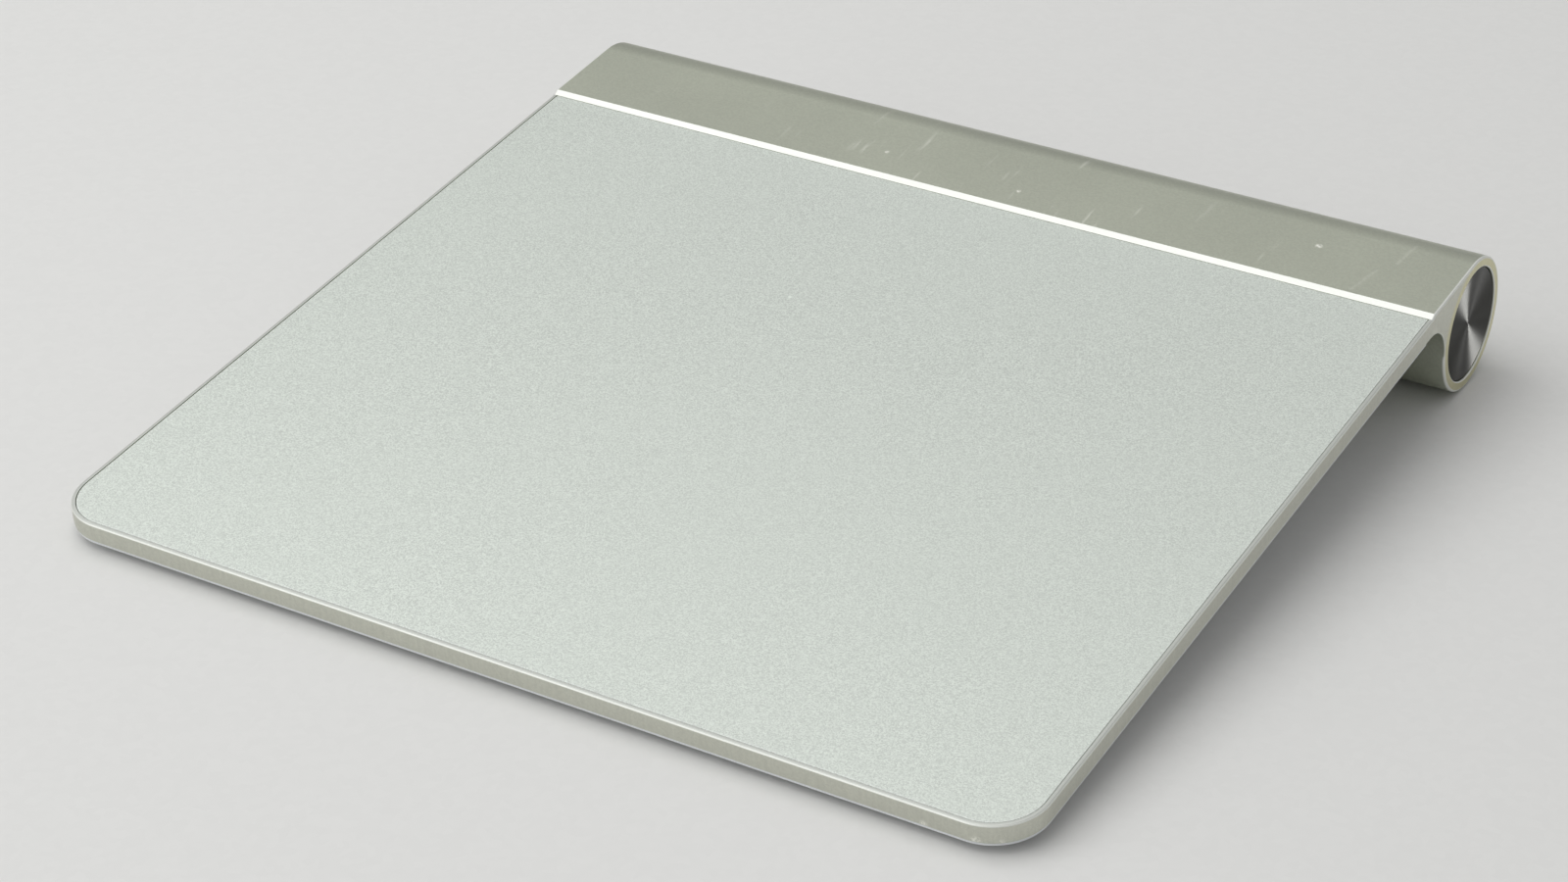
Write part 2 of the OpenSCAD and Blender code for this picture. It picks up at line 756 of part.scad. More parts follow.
// Open ring in the stem's groove that keeps the button from falling out
module button_clip() {
    clip_opening = clip_groove_d * 0.8;
    color(steel) on_plate() to_right(clip_x) linear_extrude(clip_t) difference() {
        circle(d = clip_d);
        circle(d = clip_groove_d);
        translate([0, -clip_opening / 2]) square([clip_d, clip_opening]);
    }
}

module power_button() {
    color(spun_silver) on_plate() to_right(button_face_x) difference() {
        union() {
            translate([0, 0, -button_t]) cylinder(d = head_d, h = button_t);
            translate([0, 0, plunger_tip_x - button_face_x])
                cylinder(d = stem_d, h = button_face_x - plunger_tip_x - button_t + over);
        }
        face_hollow();
        translate([0, 0, clip_x - button_face_x]) difference() {
            cylinder(d = stem_d + over, h = clip_t);
            cylinder(d = clip_groove_d, h = clip_t);
        }
    }
}

body_shell();
touch_glass();
touch_sensor();
sensor_ribbon();
ribbon_connector();
board_film();
main_board();
touch_chip();
radio_chip();
clock_crystal();
board_passives();
antenna();
indicator_led();
board_screws();
click_flex(-1);  // click_flex_left
click_flex(1);  // click_flex_right
click_dome(-1);  // click_dome_left
click_dome(1);  // click_dome_right
foot_plunger(-1);  // foot_plunger_left
foot_plunger(1);  // foot_plunger_right
front_foot(-1);  // front_foot_left
front_foot(1);  // front_foot_right
rear_foot(-1);  // rear_foot_left
rear_foot(1);  // rear_foot_right
cover_tape();
bottom_cover();
cell(cell_left_x);  // cell_left
cell(cell_right_x);  // cell_right
cap_collar();
battery_cap();
cap_spring();
switch_housing();
positive_contact();
switch_board();
power_switch();
switch_plunger();
power_ribbon();
button_guide();
button_clip();
power_button();
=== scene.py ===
"""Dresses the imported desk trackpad.

The outer pieces get fine meshes, modelled in the plate's own tilted frame and then settled into the
part's frame. Every piece gets a procedural finish. A pale floor, soft studio light and a camera stand
around the part.
"""

import json
import logging
import math
from collections.abc import Callable, Iterator
from contextlib import contextmanager
from dataclasses import dataclass
from enum import Enum

import bmesh
import bpy
from mathutils import Matrix, Vector


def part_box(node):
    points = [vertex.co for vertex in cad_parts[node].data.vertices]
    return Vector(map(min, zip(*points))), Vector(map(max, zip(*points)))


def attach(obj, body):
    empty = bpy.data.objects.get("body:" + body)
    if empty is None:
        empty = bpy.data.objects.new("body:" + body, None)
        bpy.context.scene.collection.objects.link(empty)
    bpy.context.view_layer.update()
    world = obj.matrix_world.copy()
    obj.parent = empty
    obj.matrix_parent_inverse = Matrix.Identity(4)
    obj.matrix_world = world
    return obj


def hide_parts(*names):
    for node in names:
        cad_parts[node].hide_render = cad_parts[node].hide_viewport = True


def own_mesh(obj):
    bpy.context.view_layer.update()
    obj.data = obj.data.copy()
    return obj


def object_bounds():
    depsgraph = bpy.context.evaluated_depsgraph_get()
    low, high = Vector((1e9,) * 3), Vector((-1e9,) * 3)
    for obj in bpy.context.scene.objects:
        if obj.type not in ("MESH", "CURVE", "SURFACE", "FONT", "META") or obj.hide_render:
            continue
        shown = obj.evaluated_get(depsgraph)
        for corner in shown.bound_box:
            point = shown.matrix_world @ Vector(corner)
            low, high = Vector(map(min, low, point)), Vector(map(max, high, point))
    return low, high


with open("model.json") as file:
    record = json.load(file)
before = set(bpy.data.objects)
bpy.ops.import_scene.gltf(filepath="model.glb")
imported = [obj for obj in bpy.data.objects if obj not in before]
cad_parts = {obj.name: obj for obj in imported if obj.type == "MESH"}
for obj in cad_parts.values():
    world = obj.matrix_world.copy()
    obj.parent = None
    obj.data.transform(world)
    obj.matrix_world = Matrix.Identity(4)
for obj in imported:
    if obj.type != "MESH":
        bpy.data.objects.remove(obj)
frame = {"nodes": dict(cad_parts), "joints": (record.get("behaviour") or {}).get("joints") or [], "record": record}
CAD_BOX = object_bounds()
LOG = logging.getLogger("trackpad")

MM = 0.001
# Lengths that differ by less count as the same, and points closer than WELD become one.
NEAR = 0.004 * MM
WELD = NEAR / 4
# A face counts as level when this share of its normal lies along z.
LEVEL = 0.999
# A cutter that goes right through stands out by about half of this at each end.
CUTTER_SPARE = 4 * MM
# A mark is at its full strength up to this share of its radius.
MARK_CORE = 0.4
BUMP_STRENGTH = 0.6
SMOOTH_ANGLE = math.radians(20)
ALONG_X = (0.0, math.radians(90), 0.0)
ALONG_Y = (math.radians(90), 0.0, 0.0)
ALONG_Z = (0.0, 0.0, 0.0)

Colour = tuple[float, float, float]
Socket = bpy.types.NodeSocket
Piece = bpy.types.Object


def shade(red: int, green: int, blue: int) -> Colour:
    """Turns a screen colour of 0 to 255 into the linear colour that a shader takes."""
    def linear(value: int) -> float:
        """Undoes the screen's own curve for one channel."""
        part = value / 255
        return part / 12.92 if part <= 0.04045 else ((part + 0.055) / 1.055) ** 2.4
    return linear(red), linear(green), linear(blue)


class Element(Enum):
    """What an edit-mode operator acts on."""

    VERT = "VERT"
    EDGE = "EDGE"
    FACE = "FACE"


class Side(Enum):
    """Left or right half of the part, by the sign of x."""

    LEFT = -1
    RIGHT = 1

    @property
    def word(self) -> str:
        """The side's name as the nodes use it."""
        return self.name.lower()


# Modelling by hand


def focus(piece: Piece) -> None:
    """Selects one piece alone and makes it the active one."""
    bpy.ops.object.select_all(action="DESELECT")
    piece.select_set(True)
    bpy.context.view_layer.objects.active = piece


@contextmanager
def editing(piece: Piece) -> Iterator[None]:
    """Keeps a piece in edit mode for the length of a with block."""
    focus(piece)
    bpy.ops.object.mode_set(mode="EDIT")
    yield
    bpy.ops.object.mode_set(mode="OBJECT")


def pick(element: Element, wanted: Callable[..., bool]) -> None:
    """Selects the elements that a test wants, in the mesh that is being edited.

    Args:
        element: whether vertices, edges or faces are picked.
        wanted: the test, called with each of them.
    """
    bpy.ops.mesh.select_mode(type=element.value)
    bpy.ops.mesh.select_all(action="DESELECT")
    mesh = bpy.context.edit_object.data
    shape = bmesh.from_edit_mesh(mesh)
    items = {Element.VERT: shape.verts, Element.EDGE: shape.edges, Element.FACE: shape.faces}[element]
    for item in items:
        if wanted(item):
            item.select_set(True)
    shape.select_flush_mode()
    bmesh.update_edit_mesh(mesh)


def close_to(value: float, target: float) -> bool:
    """Says whether two lengths are the same but for rounding."""
    return abs(value - target) < NEAR


def pick_edges(holds: Callable[[Vector], bool]) -> None:
    """Selects the edges with two ends that pass a test."""
    pick(Element.EDGE, lambda edge: all(holds(vert.co) for vert in edge.verts))


def pick_upright(edge_y: float) -> None:
    """Selects the upright edges at one place along y."""
    pick(Element.EDGE, lambda edge: all(close_to(vert.co.y, edge_y) for vert in edge.verts)
         and close_to(edge.verts[0].co.x, edge.verts[1].co.x))


def weld() -> None:
    """Makes points that lie on each other one, in the mesh that is being edited."""
    bpy.ops.mesh.select_all(action="SELECT")
    bpy.ops.mesh.remove_doubles(threshold=WELD)


def face_outwards() -> None:
    """Turns all faces of the mesh that is being edited outwards."""
    bpy.ops.mesh.select_all(action="SELECT")
    bpy.ops.mesh.normals_make_consistent(inside=False)


def slice_off(place: tuple[float, float, float], way: tuple[float, float, float]) -> None:
    """Cuts the mesh that is being edited flat at a place, and removes what lies beyond it."""
    bpy.ops.mesh.select_all(action="SELECT")
    bpy.ops.mesh.bisect(plane_co=place, plane_no=way, use_fill=True, clear_outer=True, threshold=WELD)


def bevel(width: float, segments: int, profile: float = 0.5) -> None:
    """Bevels the selected edges by a width."""
    bpy.ops.mesh.bevel(offset_type="OFFSET", offset=width, segments=segments, profile=profile,
                       affect="EDGES", clamp_overlap=False)


def push(x: float = 0.0, y: float = 0.0, z: float = 0.0) -> None:
    """Extrudes what is selected along a way."""
    bpy.ops.mesh.extrude_region_move(TRANSFORM_OT_translate={"value": (x, y, z)})


def name_piece(name: str) -> Piece:
    """Names the newest piece and its mesh."""
    piece = bpy.context.object
    piece.name = name
    piece.data.name = name
    return piece


def block(name: str, low: Vector, high: Vector) -> Piece:
    """Adds a block between two corners, with its place in its mesh."""
    bpy.ops.object.select_all(action="DESELECT")
    bpy.ops.mesh.primitive_cube_add(size=1, location=(low + high) / 2, scale=high - low)
    bpy.ops.object.transform_apply(location=True, rotation=True, scale=True)
    return name_piece(name)


def slab(name: str, low: Vector, high: Vector, front_r: float, rear_r: float, steps: int = 24) -> Piece:
    """Adds a block whose upright edges are round.

    Args:
        name: name of the new piece.
        low: its lowest corner.
        high: its highest corner.
        front_r: radius of the two edges at the front.
        rear_r: radius of the two edges at the rear.
        steps: faces in one round edge.

    Returns:
        The new piece.
    """
    piece = block(name, low, high)
    with editing(piece):
        for edge_y, radius in ((low.y, front_r), (high.y, rear_r)):
            pick_upright(edge_y)
            bevel(radius, steps)
    return piece


def rod(name: str, radius: float, centre: Vector, length: float, turn: tuple[float, float, float],
        sides: int = 96) -> Piece:
    """Adds a cylinder with its place and turn in its mesh.

    Args:
        name: name of the new piece.
        radius: its radius.
        centre: its middle.
        length: its length.
        turn: how its axis is turned, one of the ALONG values.
        sides: faces round it.

    Returns:
        The new piece.
    """
    bpy.ops.object.select_all(action="DESELECT")
    bpy.ops.mesh.primitive_cylinder_add(vertices=sides, radius=radius, depth=length, location=centre,
                                        rotation=turn)
    bpy.ops.object.transform_apply(location=True, rotation=True, scale=True)
    return name_piece(name)


def combine(piece: Piece, other: Piece, operation: str) -> None:
    """Combines a piece with the shape of another, and removes the other.

    Args:
        piece: the piece that is kept.
        other: the piece whose shape is added or taken out.
        operation: UNION or DIFFERENCE.
    """
    focus(piece)
    change = piece.modifiers.new("combine", "BOOLEAN")
    change.operation = operation
    change.solver = "EXACT"
    change.object = other
    bpy.ops.object.modifier_apply(modifier=change.name)
    bpy.data.objects.remove(other, do_unlink=True)


def cut(piece: Piece, cutter: Piece) -> None:
    """Takes the shape of a cutter out of a piece, and removes the cutter."""
    combine(piece, cutter, "DIFFERENCE")


def move(piece: Piece, placing: Matrix) -> None:
    """Moves a piece in its mesh, so that the piece itself stays at the origin, unturned."""
    piece.matrix_world = placing
    focus(piece)
    bpy.ops.object.transform_apply(location=True, rotation=True, scale=True)


def polish_normals(piece: Piece) -> None:
    """Smooths the round stretches, and keeps the flats flat and the corners crisp."""
    focus(piece)
    bpy.ops.object.shade_smooth_by_angle(angle=SMOOTH_ANGLE)
    weigh = piece.modifiers.new("weigh", "WEIGHTED_NORMAL")
    weigh.keep_sharp = True
    bpy.ops.object.modifier_apply(modifier=weigh.name)


class Pen:
    """Draws a chain of edges from one vertex, with straight runs and with arcs about the x axis."""

    def __init__(self, name: str, start: Vector) -> None:
        """Puts the first vertex down and stays in edit mode."""
        bpy.ops.object.select_all(action="DESELECT")
        bpy.ops.mesh.primitive_plane_add(size=MM)
        self.piece = name_piece(name)
        focus(self.piece)
        bpy.ops.object.mode_set(mode="EDIT")
        bpy.ops.mesh.select_mode(type=Element.VERT.value)
        bpy.ops.mesh.select_all(action="SELECT")
        bpy.ops.mesh.merge(type="CENTER")
        bpy.ops.transform.translate(value=start)
        self.at = start.copy()

    @classmethod
    def through(cls, name: str, points: list[Vector]) -> "Pen":
        """Draws straight runs through points.

        Args:
            name: name of the new piece.
            points: the points, the first one first.

        Returns:
            The pen, still in edit mode.
        """
        pen = cls(name, points[0])
        for point in points[1:]:
            pen.line(point)
        return pen

    def line(self, point: Vector) -> None:
        """Draws a straight run to a point."""
        push(*(point - self.at))
        self.at = point.copy()

    def arc(self, centre: Vector, angle: float, steps: int) -> None:
        """Draws an arc about a line along x.

        Args:
            centre: a point on that line.
            angle: how far the arc turns, from y towards z.
            steps: edges in the arc.
        """
        bpy.ops.mesh.spin(steps=steps, angle=-angle, center=centre, axis=(1, 0, 0))
        self.at = centre + Matrix.Rotation(angle, 3, "X") @ (self.at - centre)

    def fill(self) -> Piece:
        """Closes the chain, fills it with one face and leaves edit mode."""
        bpy.ops.mesh.select_all(action="SELECT")
        bpy.ops.mesh.remove_doubles(threshold=NEAR)
        bpy.ops.mesh.edge_face_add()
        bpy.ops.object.mode_set(mode="OBJECT")
        return self.piece

    def turn(self, steps: int = 160) -> Piece:
        """Spins the chain once round the x axis into a turned piece and leaves edit mode."""
        bpy.ops.mesh.select_all(action="SELECT")
        bpy.ops.mesh.spin(steps=steps, angle=2 * math.pi, center=(0, 0, 0), axis=(1, 0, 0))
        weld()
        face_outwards()
        bpy.ops.object.mode_set(mode="OBJECT")
        return self.piece


def turned(name: str, profile: list[tuple[float, float]]) -> Piece:
    """Makes a turned piece from places along the x axis and radii.

    Args:
        name: name of the new piece.
        profile: pairs of place along x and radius, from one end of the axis to the other.

    Returns:
        The new piece.
    """
    return Pen.through(name, [Vector((x, 0.0, radius)) for x, radius in profile]).turn()


# Shader building


class Graph:
    """Adds nodes to a shader tree and joins them."""

    def __init__(self, tree: bpy.types.NodeTree) -> None:
        """Takes an empty tree."""
        self.tree = tree

    def node(self, kind: str, inputs: dict | None = None, **settings: object) -> bpy.types.Node:
        """Adds one node.

        Args:
            kind: Blender's name for the node.
            inputs: values or sockets for its inputs, by the input's name or number.
            settings: values for its own settings.

        Returns:
            The node.
        """
        node = self.tree.nodes.new(kind)
        for key, value in settings.items():
            setattr(node, key, value)
        for key, value in (inputs or {}).items():
            if isinstance(value, Socket):
                self.tree.links.new(value, node.inputs[key])
            else:
                node.inputs[key].default_value = value
        return node

    def math(self, operation: str, first: object, second: object = 0.0) -> Socket:
        """Joins two values by one step of arithmetic."""
        return self.node("ShaderNodeMath", {0: first, 1: second}, operation=operation).outputs[0]

    def spread(self, value: object, low: float, high: float, to_low: float = 0.0,
               to_high: float = 1.0) -> Socket:
        """Stretches a value from one range to another, without leaving the new range."""
        inputs = {"Value": value, "From Min": low, "From Max": high, "To Min": to_low, "To Max": to_high}
        return self.node("ShaderNodeMapRange", inputs).outputs["Result"]

    def mix(self, share: object, first: object, second: object) -> Socket:
        """Mixes two colours."""
        def opaque(value: object) -> object:
            """Adds the fourth channel to a plain colour."""
            return (*value, 1.0) if isinstance(value, tuple) else value
        inputs = {0: share, 6: opaque(first), 7: opaque(second)}
        return self.node("ShaderNodeMix", inputs, data_type="RGBA").outputs[2]

    def noise(self, vector: object, scale: object, detail: float = 3.0) -> Socket:
        """Adds a cloudy pattern of values round 0.5."""
        inputs = {"Vector": vector, "Scale": scale, "Detail": detail}
        return self.node("ShaderNodeTexNoise", inputs).outputs[0]

    def stretch(self, vector: object, scale: tuple[float, float, float] = (1.0, 1.0, 1.0),
                turn: tuple[float, float, float] = (0.0, 0.0, 0.0),
                shift: tuple[float, float, float] = (0.0, 0.0, 0.0)) -> Socket:
        """Stretches, turns and shifts a pattern's coordinates."""
        inputs = {"Vector": vector, "Scale": scale, "Rotation": turn, "Location": shift}
        return self.node("ShaderNodeMapping", inputs).outputs[0]

    def off_axis(self, vector: object) -> Socket:
        """Distance from the x axis."""
        apart = self.node("ShaderNodeSeparateXYZ", {0: vector})
        squares = [self.math("POWER", apart.outputs[axis], 2.0) for axis in ("Y", "Z")]
        return self.math("SQRT", self.math("ADD", *squares))

    def near(self, vector: object, place: object, radius: float) -> Socket:
        """Marks what lies near one place, from 1 there to 0 at a radius."""
        apart = self.node("ShaderNodeVectorMath", {0: vector, 1: place}, operation="DISTANCE")
        return self.spread(apart.outputs["Value"], MARK_CORE * radius, radius, 1.0, 0.0)

    def near_line(self, vector: object, start: Vector, end: Vector, radius: float) -> Socket:
        """Marks what lies near a straight line.

        Args:
            vector: coordinates in metres.
            start: one end of the line.
            end: its other end.
            radius: how far from the line the mark ends.

        Returns:
            A value from 1 on the line to 0 at the radius.
        """
        run = end - start
        past = self.node("ShaderNodeVectorMath", {0: vector, 1: start}, operation="SUBTRACT").outputs[0]
        along = self.node("ShaderNodeVectorMath", {0: past, 1: run / run.length_squared},
                          operation="DOT_PRODUCT").outputs["Value"]
        held = self.spread(along, 0.0, 1.0)
        foot = self.node("ShaderNodeVectorMath", {0: run, "Scale": held}, operation="SCALE").outputs[0]
        return self.near(past, foot, radius)


class Effect(Enum):
    """The shared surface effects, each built once as a node group that puts out a mask."""

    GRAIN = "fine_grain"
    SMEAR = "soft_smears"
    SCUFF = "fine_scuffs"
    SPECK = "bright_specks"
    STREAK = "cutter_streaks"
    RING = "turned_rings"

    def group(self) -> bpy.types.NodeTree:
        """Returns the effect's node group, and builds it on its first use."""
        made = bpy.data.node_groups.get(self.value)
        if made:
            return made
        tree = bpy.data.node_groups.new(self.value, "ShaderNodeTree")
        tree.interface.new_socket("Vector", in_out="INPUT", socket_type="NodeSocketVector")
        tree.interface.new_socket("Scale", in_out="INPUT", socket_type="NodeSocketFloat")
        tree.interface.new_socket("Mask", in_out="OUTPUT", socket_type="NodeSocketFloat")
        graph = Graph(tree)
        given = graph.node("NodeGroupInput")
        mask = self.pattern(graph, given.outputs["Vector"], given.outputs["Scale"])
        graph.node("NodeGroupOutput", {"Mask": mask})
        return tree

    def pattern(self, graph: Graph, vector: Socket, scale: Socket) -> Socket:
        """Builds the effect's pattern.

        Args:
            graph: the tree to build in.
            vector: coordinates in metres.
            scale: repeats in a metre.

        Returns:
            A value from 0 to 1.
        """
        if self is Effect.GRAIN:
            cells = graph.node("ShaderNodeTexVoronoi", {"Vector": vector, "Scale": scale})
            tone = graph.node("ShaderNodeSeparateColor", {0: cells.outputs["Color"]}).outputs[0]
            cell_share = 0.8
            cloud_scale = 0.45
            cloud = graph.noise(vector, graph.math("MULTIPLY", scale, cloud_scale))
            return graph.math("ADD", graph.math("MULTIPLY", tone, cell_share),
                              graph.math("MULTIPLY", cloud, 1 - cell_share))
        if self is Effect.SMEAR:
            return graph.spread(graph.noise(vector, scale, detail=5.0), low=0.35, high=0.68)
        if self is Effect.SCUFF:
            cloud_scale = 0.03
            lines = []
            for squeeze, turn, low, high in ((0.03, 0.9, 0.66, 0.74), (0.04, -0.5, 0.67, 0.75)):
                drawn_out = graph.stretch(vector, (1.0, squeeze, 1.0), (0.0, 0.0, turn))
                lines.append(graph.spread(graph.noise(drawn_out, scale), low, high))
            cloud = graph.noise(vector, graph.math("MULTIPLY", scale, cloud_scale))
            patches = graph.spread(cloud, low=0.5, high=0.62)
            return graph.math("MULTIPLY", graph.math("MAXIMUM", *lines), patches)
        if self is Effect.SPECK:
            cells = graph.node("ShaderNodeTexVoronoi", {"Vector": vector, "Scale": scale})
            chance = graph.node("ShaderNodeSeparateColor", {0: cells.outputs["Color"]}).outputs[1]
            dots = graph.spread(cells.outputs["Distance"], 0.10, 0.22, 1.0, 0.0)
            return graph.math("MULTIPLY", dots, graph.spread(chance, low=0.90, high=0.94))
        if self is Effect.STREAK:
            return graph.noise(graph.stretch(vector, (1.0, 1.0, 0.05)), scale, detail=4.0)
        place = graph.node("ShaderNodeCombineXYZ", {0: graph.off_axis(vector)})
        return graph.noise(place.outputs[0], scale, detail=4.0)

    def place(self, graph: Graph, vector: object, scale: float) -> Socket:
        """Puts the effect into a material with its own scale, and returns its mask."""
        inputs = {"Vector": vector, "Scale": scale}
        return graph.node("ShaderNodeGroup", inputs, node_tree=self.group()).outputs["Mask"]


# Finishes


@dataclass(frozen=True)
class Finish:
    """A finish with a fine grain and soft smears, which other finishes add to.

    Grains, smears and other marks are given by how many lie in a metre. With them go a tone, which is how far
    a mark departs from the colour, a share, which is how strongly it shows, and a depth, in metres.
    """

    name: str
    colour: Colour
    roughness: float
    metallic: float = 0.0
    coat: float = 0.0
    grain: float = 4000.0
    grain_tone: float = 0.05
    grain_depth: float = 0.004 * MM
    smear: float = 45.0
    smear_rough: float = 0.05

    def tint(self, factor: float) -> Colour:
        """The colour made lighter or darker."""
        return tuple(min(1.0, channel * factor) for channel in self.colour)

    def material(self) -> bpy.types.Material:
        """Returns the material, and builds it on its first use."""
        made = bpy.data.materials.get(self.name)
        if made:
            return made
        made = bpy.data.materials.new(self.name)
        made.use_nodes = True
        made.node_tree.nodes.clear()
        graph = Graph(made.node_tree)
        where = graph.node("ShaderNodeTexCoord").outputs["Object"]
        relief = {"Height": self.height(graph, where), "Strength": BUMP_STRENGTH,
                  "Distance": self.grain_depth}
        bump = graph.node("ShaderNodeBump", relief)
        inputs = {"Base Color": self.paint(graph, where), "Roughness": self.gloss(graph, where),
                  "Metallic": self.metal(graph, where), "Coat Weight": self.coat, "Normal": bump.outputs[0]}
        shader = graph.node("ShaderNodeBsdfPrincipled", inputs)
        self.tune(graph, shader)
        graph.node("ShaderNodeOutputMaterial", {"Surface": self.surface(graph, shader)})
        return made

    def paint(self, graph: Graph, where: Socket) -> Socket:
        """Builds the colour over the surface."""
        grains = Effect.GRAIN.place(graph, where, self.grain)
        return graph.mix(grains, self.tint(1 - self.grain_tone), self.tint(1 + self.grain_tone))

    def gloss(self, graph: Graph, where: Socket) -> Socket:
        """Builds the roughness over the surface."""
        smears = Effect.SMEAR.place(graph, where, self.smear)
        return graph.spread(smears, 0.0, 1.0, self.roughness, self.roughness + self.smear_rough)

    def metal(self, graph: Graph, where: Socket) -> object:
        """How metallic the surface is; the same all over, unless a finish wears through."""
        return self.metallic

    def height(self, graph: Graph, where: Socket) -> Socket:
        """Builds the relief of the surface, from 0 to 1."""
        return Effect.GRAIN.place(graph, where, self.grain)

    def tune(self, graph: Graph, shader: bpy.types.Node) -> None:
        """Sets what is the same all over the surface; a plain finish has no more to set."""

    def surface(self, graph: Graph, shader: bpy.types.Node) -> Socket:
        """The shader that the surface ends with."""
        return shader.outputs[0]


@dataclass(frozen=True)
class FloorPaper(Finish):
    """Pale paper that can be looked through from below, so that the underside can be seen."""

    def surface(self, graph: Graph, shader: bpy.types.Node) -> Socket:
        """Paper from above, clear from below."""
        from_below = graph.node("ShaderNodeNewGeometry").outputs["Backfacing"]
        clear = graph.node("ShaderNodeBsdfTransparent").outputs[0]
        return graph.node("ShaderNodeMixShader", {0: from_below, 1: shader.outputs[0], 2: clear}).outputs[0]


@dataclass(frozen=True)
class SatinMetal(Finish):
    """Blasted and anodised metal with fine scuffs, pale specks and a few knocks.

    Knocks are places with radii, and scratches are pairs of ends. Both have ragged edges.
    """

    metallic: float = 1.0
    worn: Colour = shade(236, 236, 226)
    scuff: float = 900.0
    scuff_share: float = 0.35
    speck: float = 160.0
    ragged: float = 3500.0
    knocks: tuple[tuple[Vector, float], ...] = ()
    scratches: tuple[tuple[Vector, Vector], ...] = ()
    scratch_r: float = 0.3 * MM
    scratch_share: float = 0.2

    def marks(self, graph: Graph, where: Socket) -> Socket:
        """Builds one mask of the scuffs, the specks, the knocks and the scratches.

        Args:
            graph: the material's tree.
            where: coordinates in metres.

        Returns:
            A value from 0 to 1.
        """
        scuffs = graph.math("MULTIPLY", Effect.SCUFF.place(graph, where, self.scuff), self.scuff_share)
        specks = graph.math("MULTIPLY", Effect.SPECK.place(graph, where, self.speck), self.scuff_share)
        marks = graph.math("MAXIMUM", scuffs, specks)
        ragged = graph.spread(graph.noise(where, self.ragged), low=0.35, high=0.55)
        for place, radius in self.knocks:
            knock = graph.math("MULTIPLY", graph.near(where, place, radius), ragged)
            marks = graph.math("MAXIMUM", marks, knock)
        for start, end in self.scratches:
            line = graph.math("MULTIPLY", graph.near_line(where, start, end, self.scratch_r), ragged)
            marks = graph.math("MAXIMUM", marks, graph.math("MULTIPLY", line, self.scratch_share))
        return marks

    def paint(self, graph: Graph, where: Socket) -> Socket:
        """Builds the colour with its marks."""
        return graph.mix(self.marks(graph, where), super().paint(graph, where), self.worn)

    def metal(self, graph: Graph, where: Socket) -> Socket:
        """Bare metal, chalky where it is marked."""
        return graph.math("SUBTRACT", 1.0, self.marks(graph, where))


@dataclass(frozen=True)
class MilledMetal(SatinMetal):
    """Satin metal on a wall that a cutter has left with streaks across it, with a painted creamy reflection round
    the tube's end.

    The painted creamy reflection is a ring about the tube's axis. It fades from the core's share of its radius to
    the radius.
    """

    streak: float = 2600.0
    streak_tone: float = 0.06
    # Colour of the painted warm reflection round the tube's end.
    end_colour: Colour = shade(214, 210, 176)
    end_r: float = 9 * MM
    end_core: float = 0.94
    axis_y: float = 0.0
    axis_z: float = 0.0

    def paint(self, graph: Graph, where: Socket) -> Socket:
        """Builds the colour with its streaks and the painted creamy reflection round the tube's end.

        Args:
            graph: the material's tree.
            where: coordinates in metres.

        Returns:
            The colour.
        """
        centred = graph.stretch(where, shift=(0.0, -self.axis_y, -self.axis_z))
        # Painted reflection: a warm creamy ring that stands in for warm light mirrored in the tube's end face.
        on_reflection_ring = graph.spread(graph.off_axis(centred), self.end_core * self.end_r, self.end_r, 1.0, 0.0)
        with_reflection = graph.mix(on_reflection_ring, super().paint(graph, where), self.end_colour)
        streaks = Effect.STREAK.place(graph, where, self.streak)
        dark = tuple(1 - self.streak_tone for _ in range(3))
        tones = graph.mix(graph.spread(streaks, low=0.3, high=0.7), dark, (1.0, 1.0, 1.0))
        inputs = {0: 1.0, 6: with_reflection, 7: tones}
        return graph.node("ShaderNodeMix", inputs, data_type="RGBA", blend_type="MULTIPLY").outputs[2]

    def height(self, graph: Graph, where: Socket) -> Socket:
        """Builds the relief of the streaks."""
        return Effect.STREAK.place(graph, where, self.streak)


@dataclass(frozen=True)
class SpunMetal(Finish):
    """Metal faced on a lathe, with fine rings round the tube's axis.

    The rings stretch a highlight, and the way that they stretch it is given in whole turns.
    """

    metallic: float = 1.0
    axis_y: float = 0.0
    axis_z: float = 0.0
    ring: float = 9000.0
    ring_tone: float = 0.14
    stretch: float = 1.0
    stretch_turn: float = 0.25

    def rings(self, graph: Graph, where: Socket) -> Socket:
        """Builds the rings about the tube's axis."""
        centred = graph.stretch(where, shift=(0.0, -self.axis_y, -self.axis_z))
        return graph.spread(Effect.RING.place(graph, centred, self.ring), low=0.3, high=0.7)

    def paint(self, graph: Graph, where: Socket) -> Socket:
        """Builds the colour, ring by ring."""
        rings = self.rings(graph, where)
        return graph.mix(rings, self.tint(1 - self.ring_tone), self.tint(1 + self.ring_tone))

    def height(self, graph: Graph, where: Socket) -> Socket:
        """Builds the relief of the rings."""
        return self.rings(graph, where)

    def tune(self, graph: Graph, shader: bpy.types.Node) -> None:
        """Stretches the highlights across the rings."""
        shader.inputs["Anisotropic"].default_value = self.stretch
        shader.inputs["Anisotropic Rotation"].default_value = self.stretch_turn
        tangent = graph.node("ShaderNodeTangent", direction_type="RADIAL", axis="X")
        graph.tree.links.new(tangent.outputs[0], shader.inputs["Tangent"])


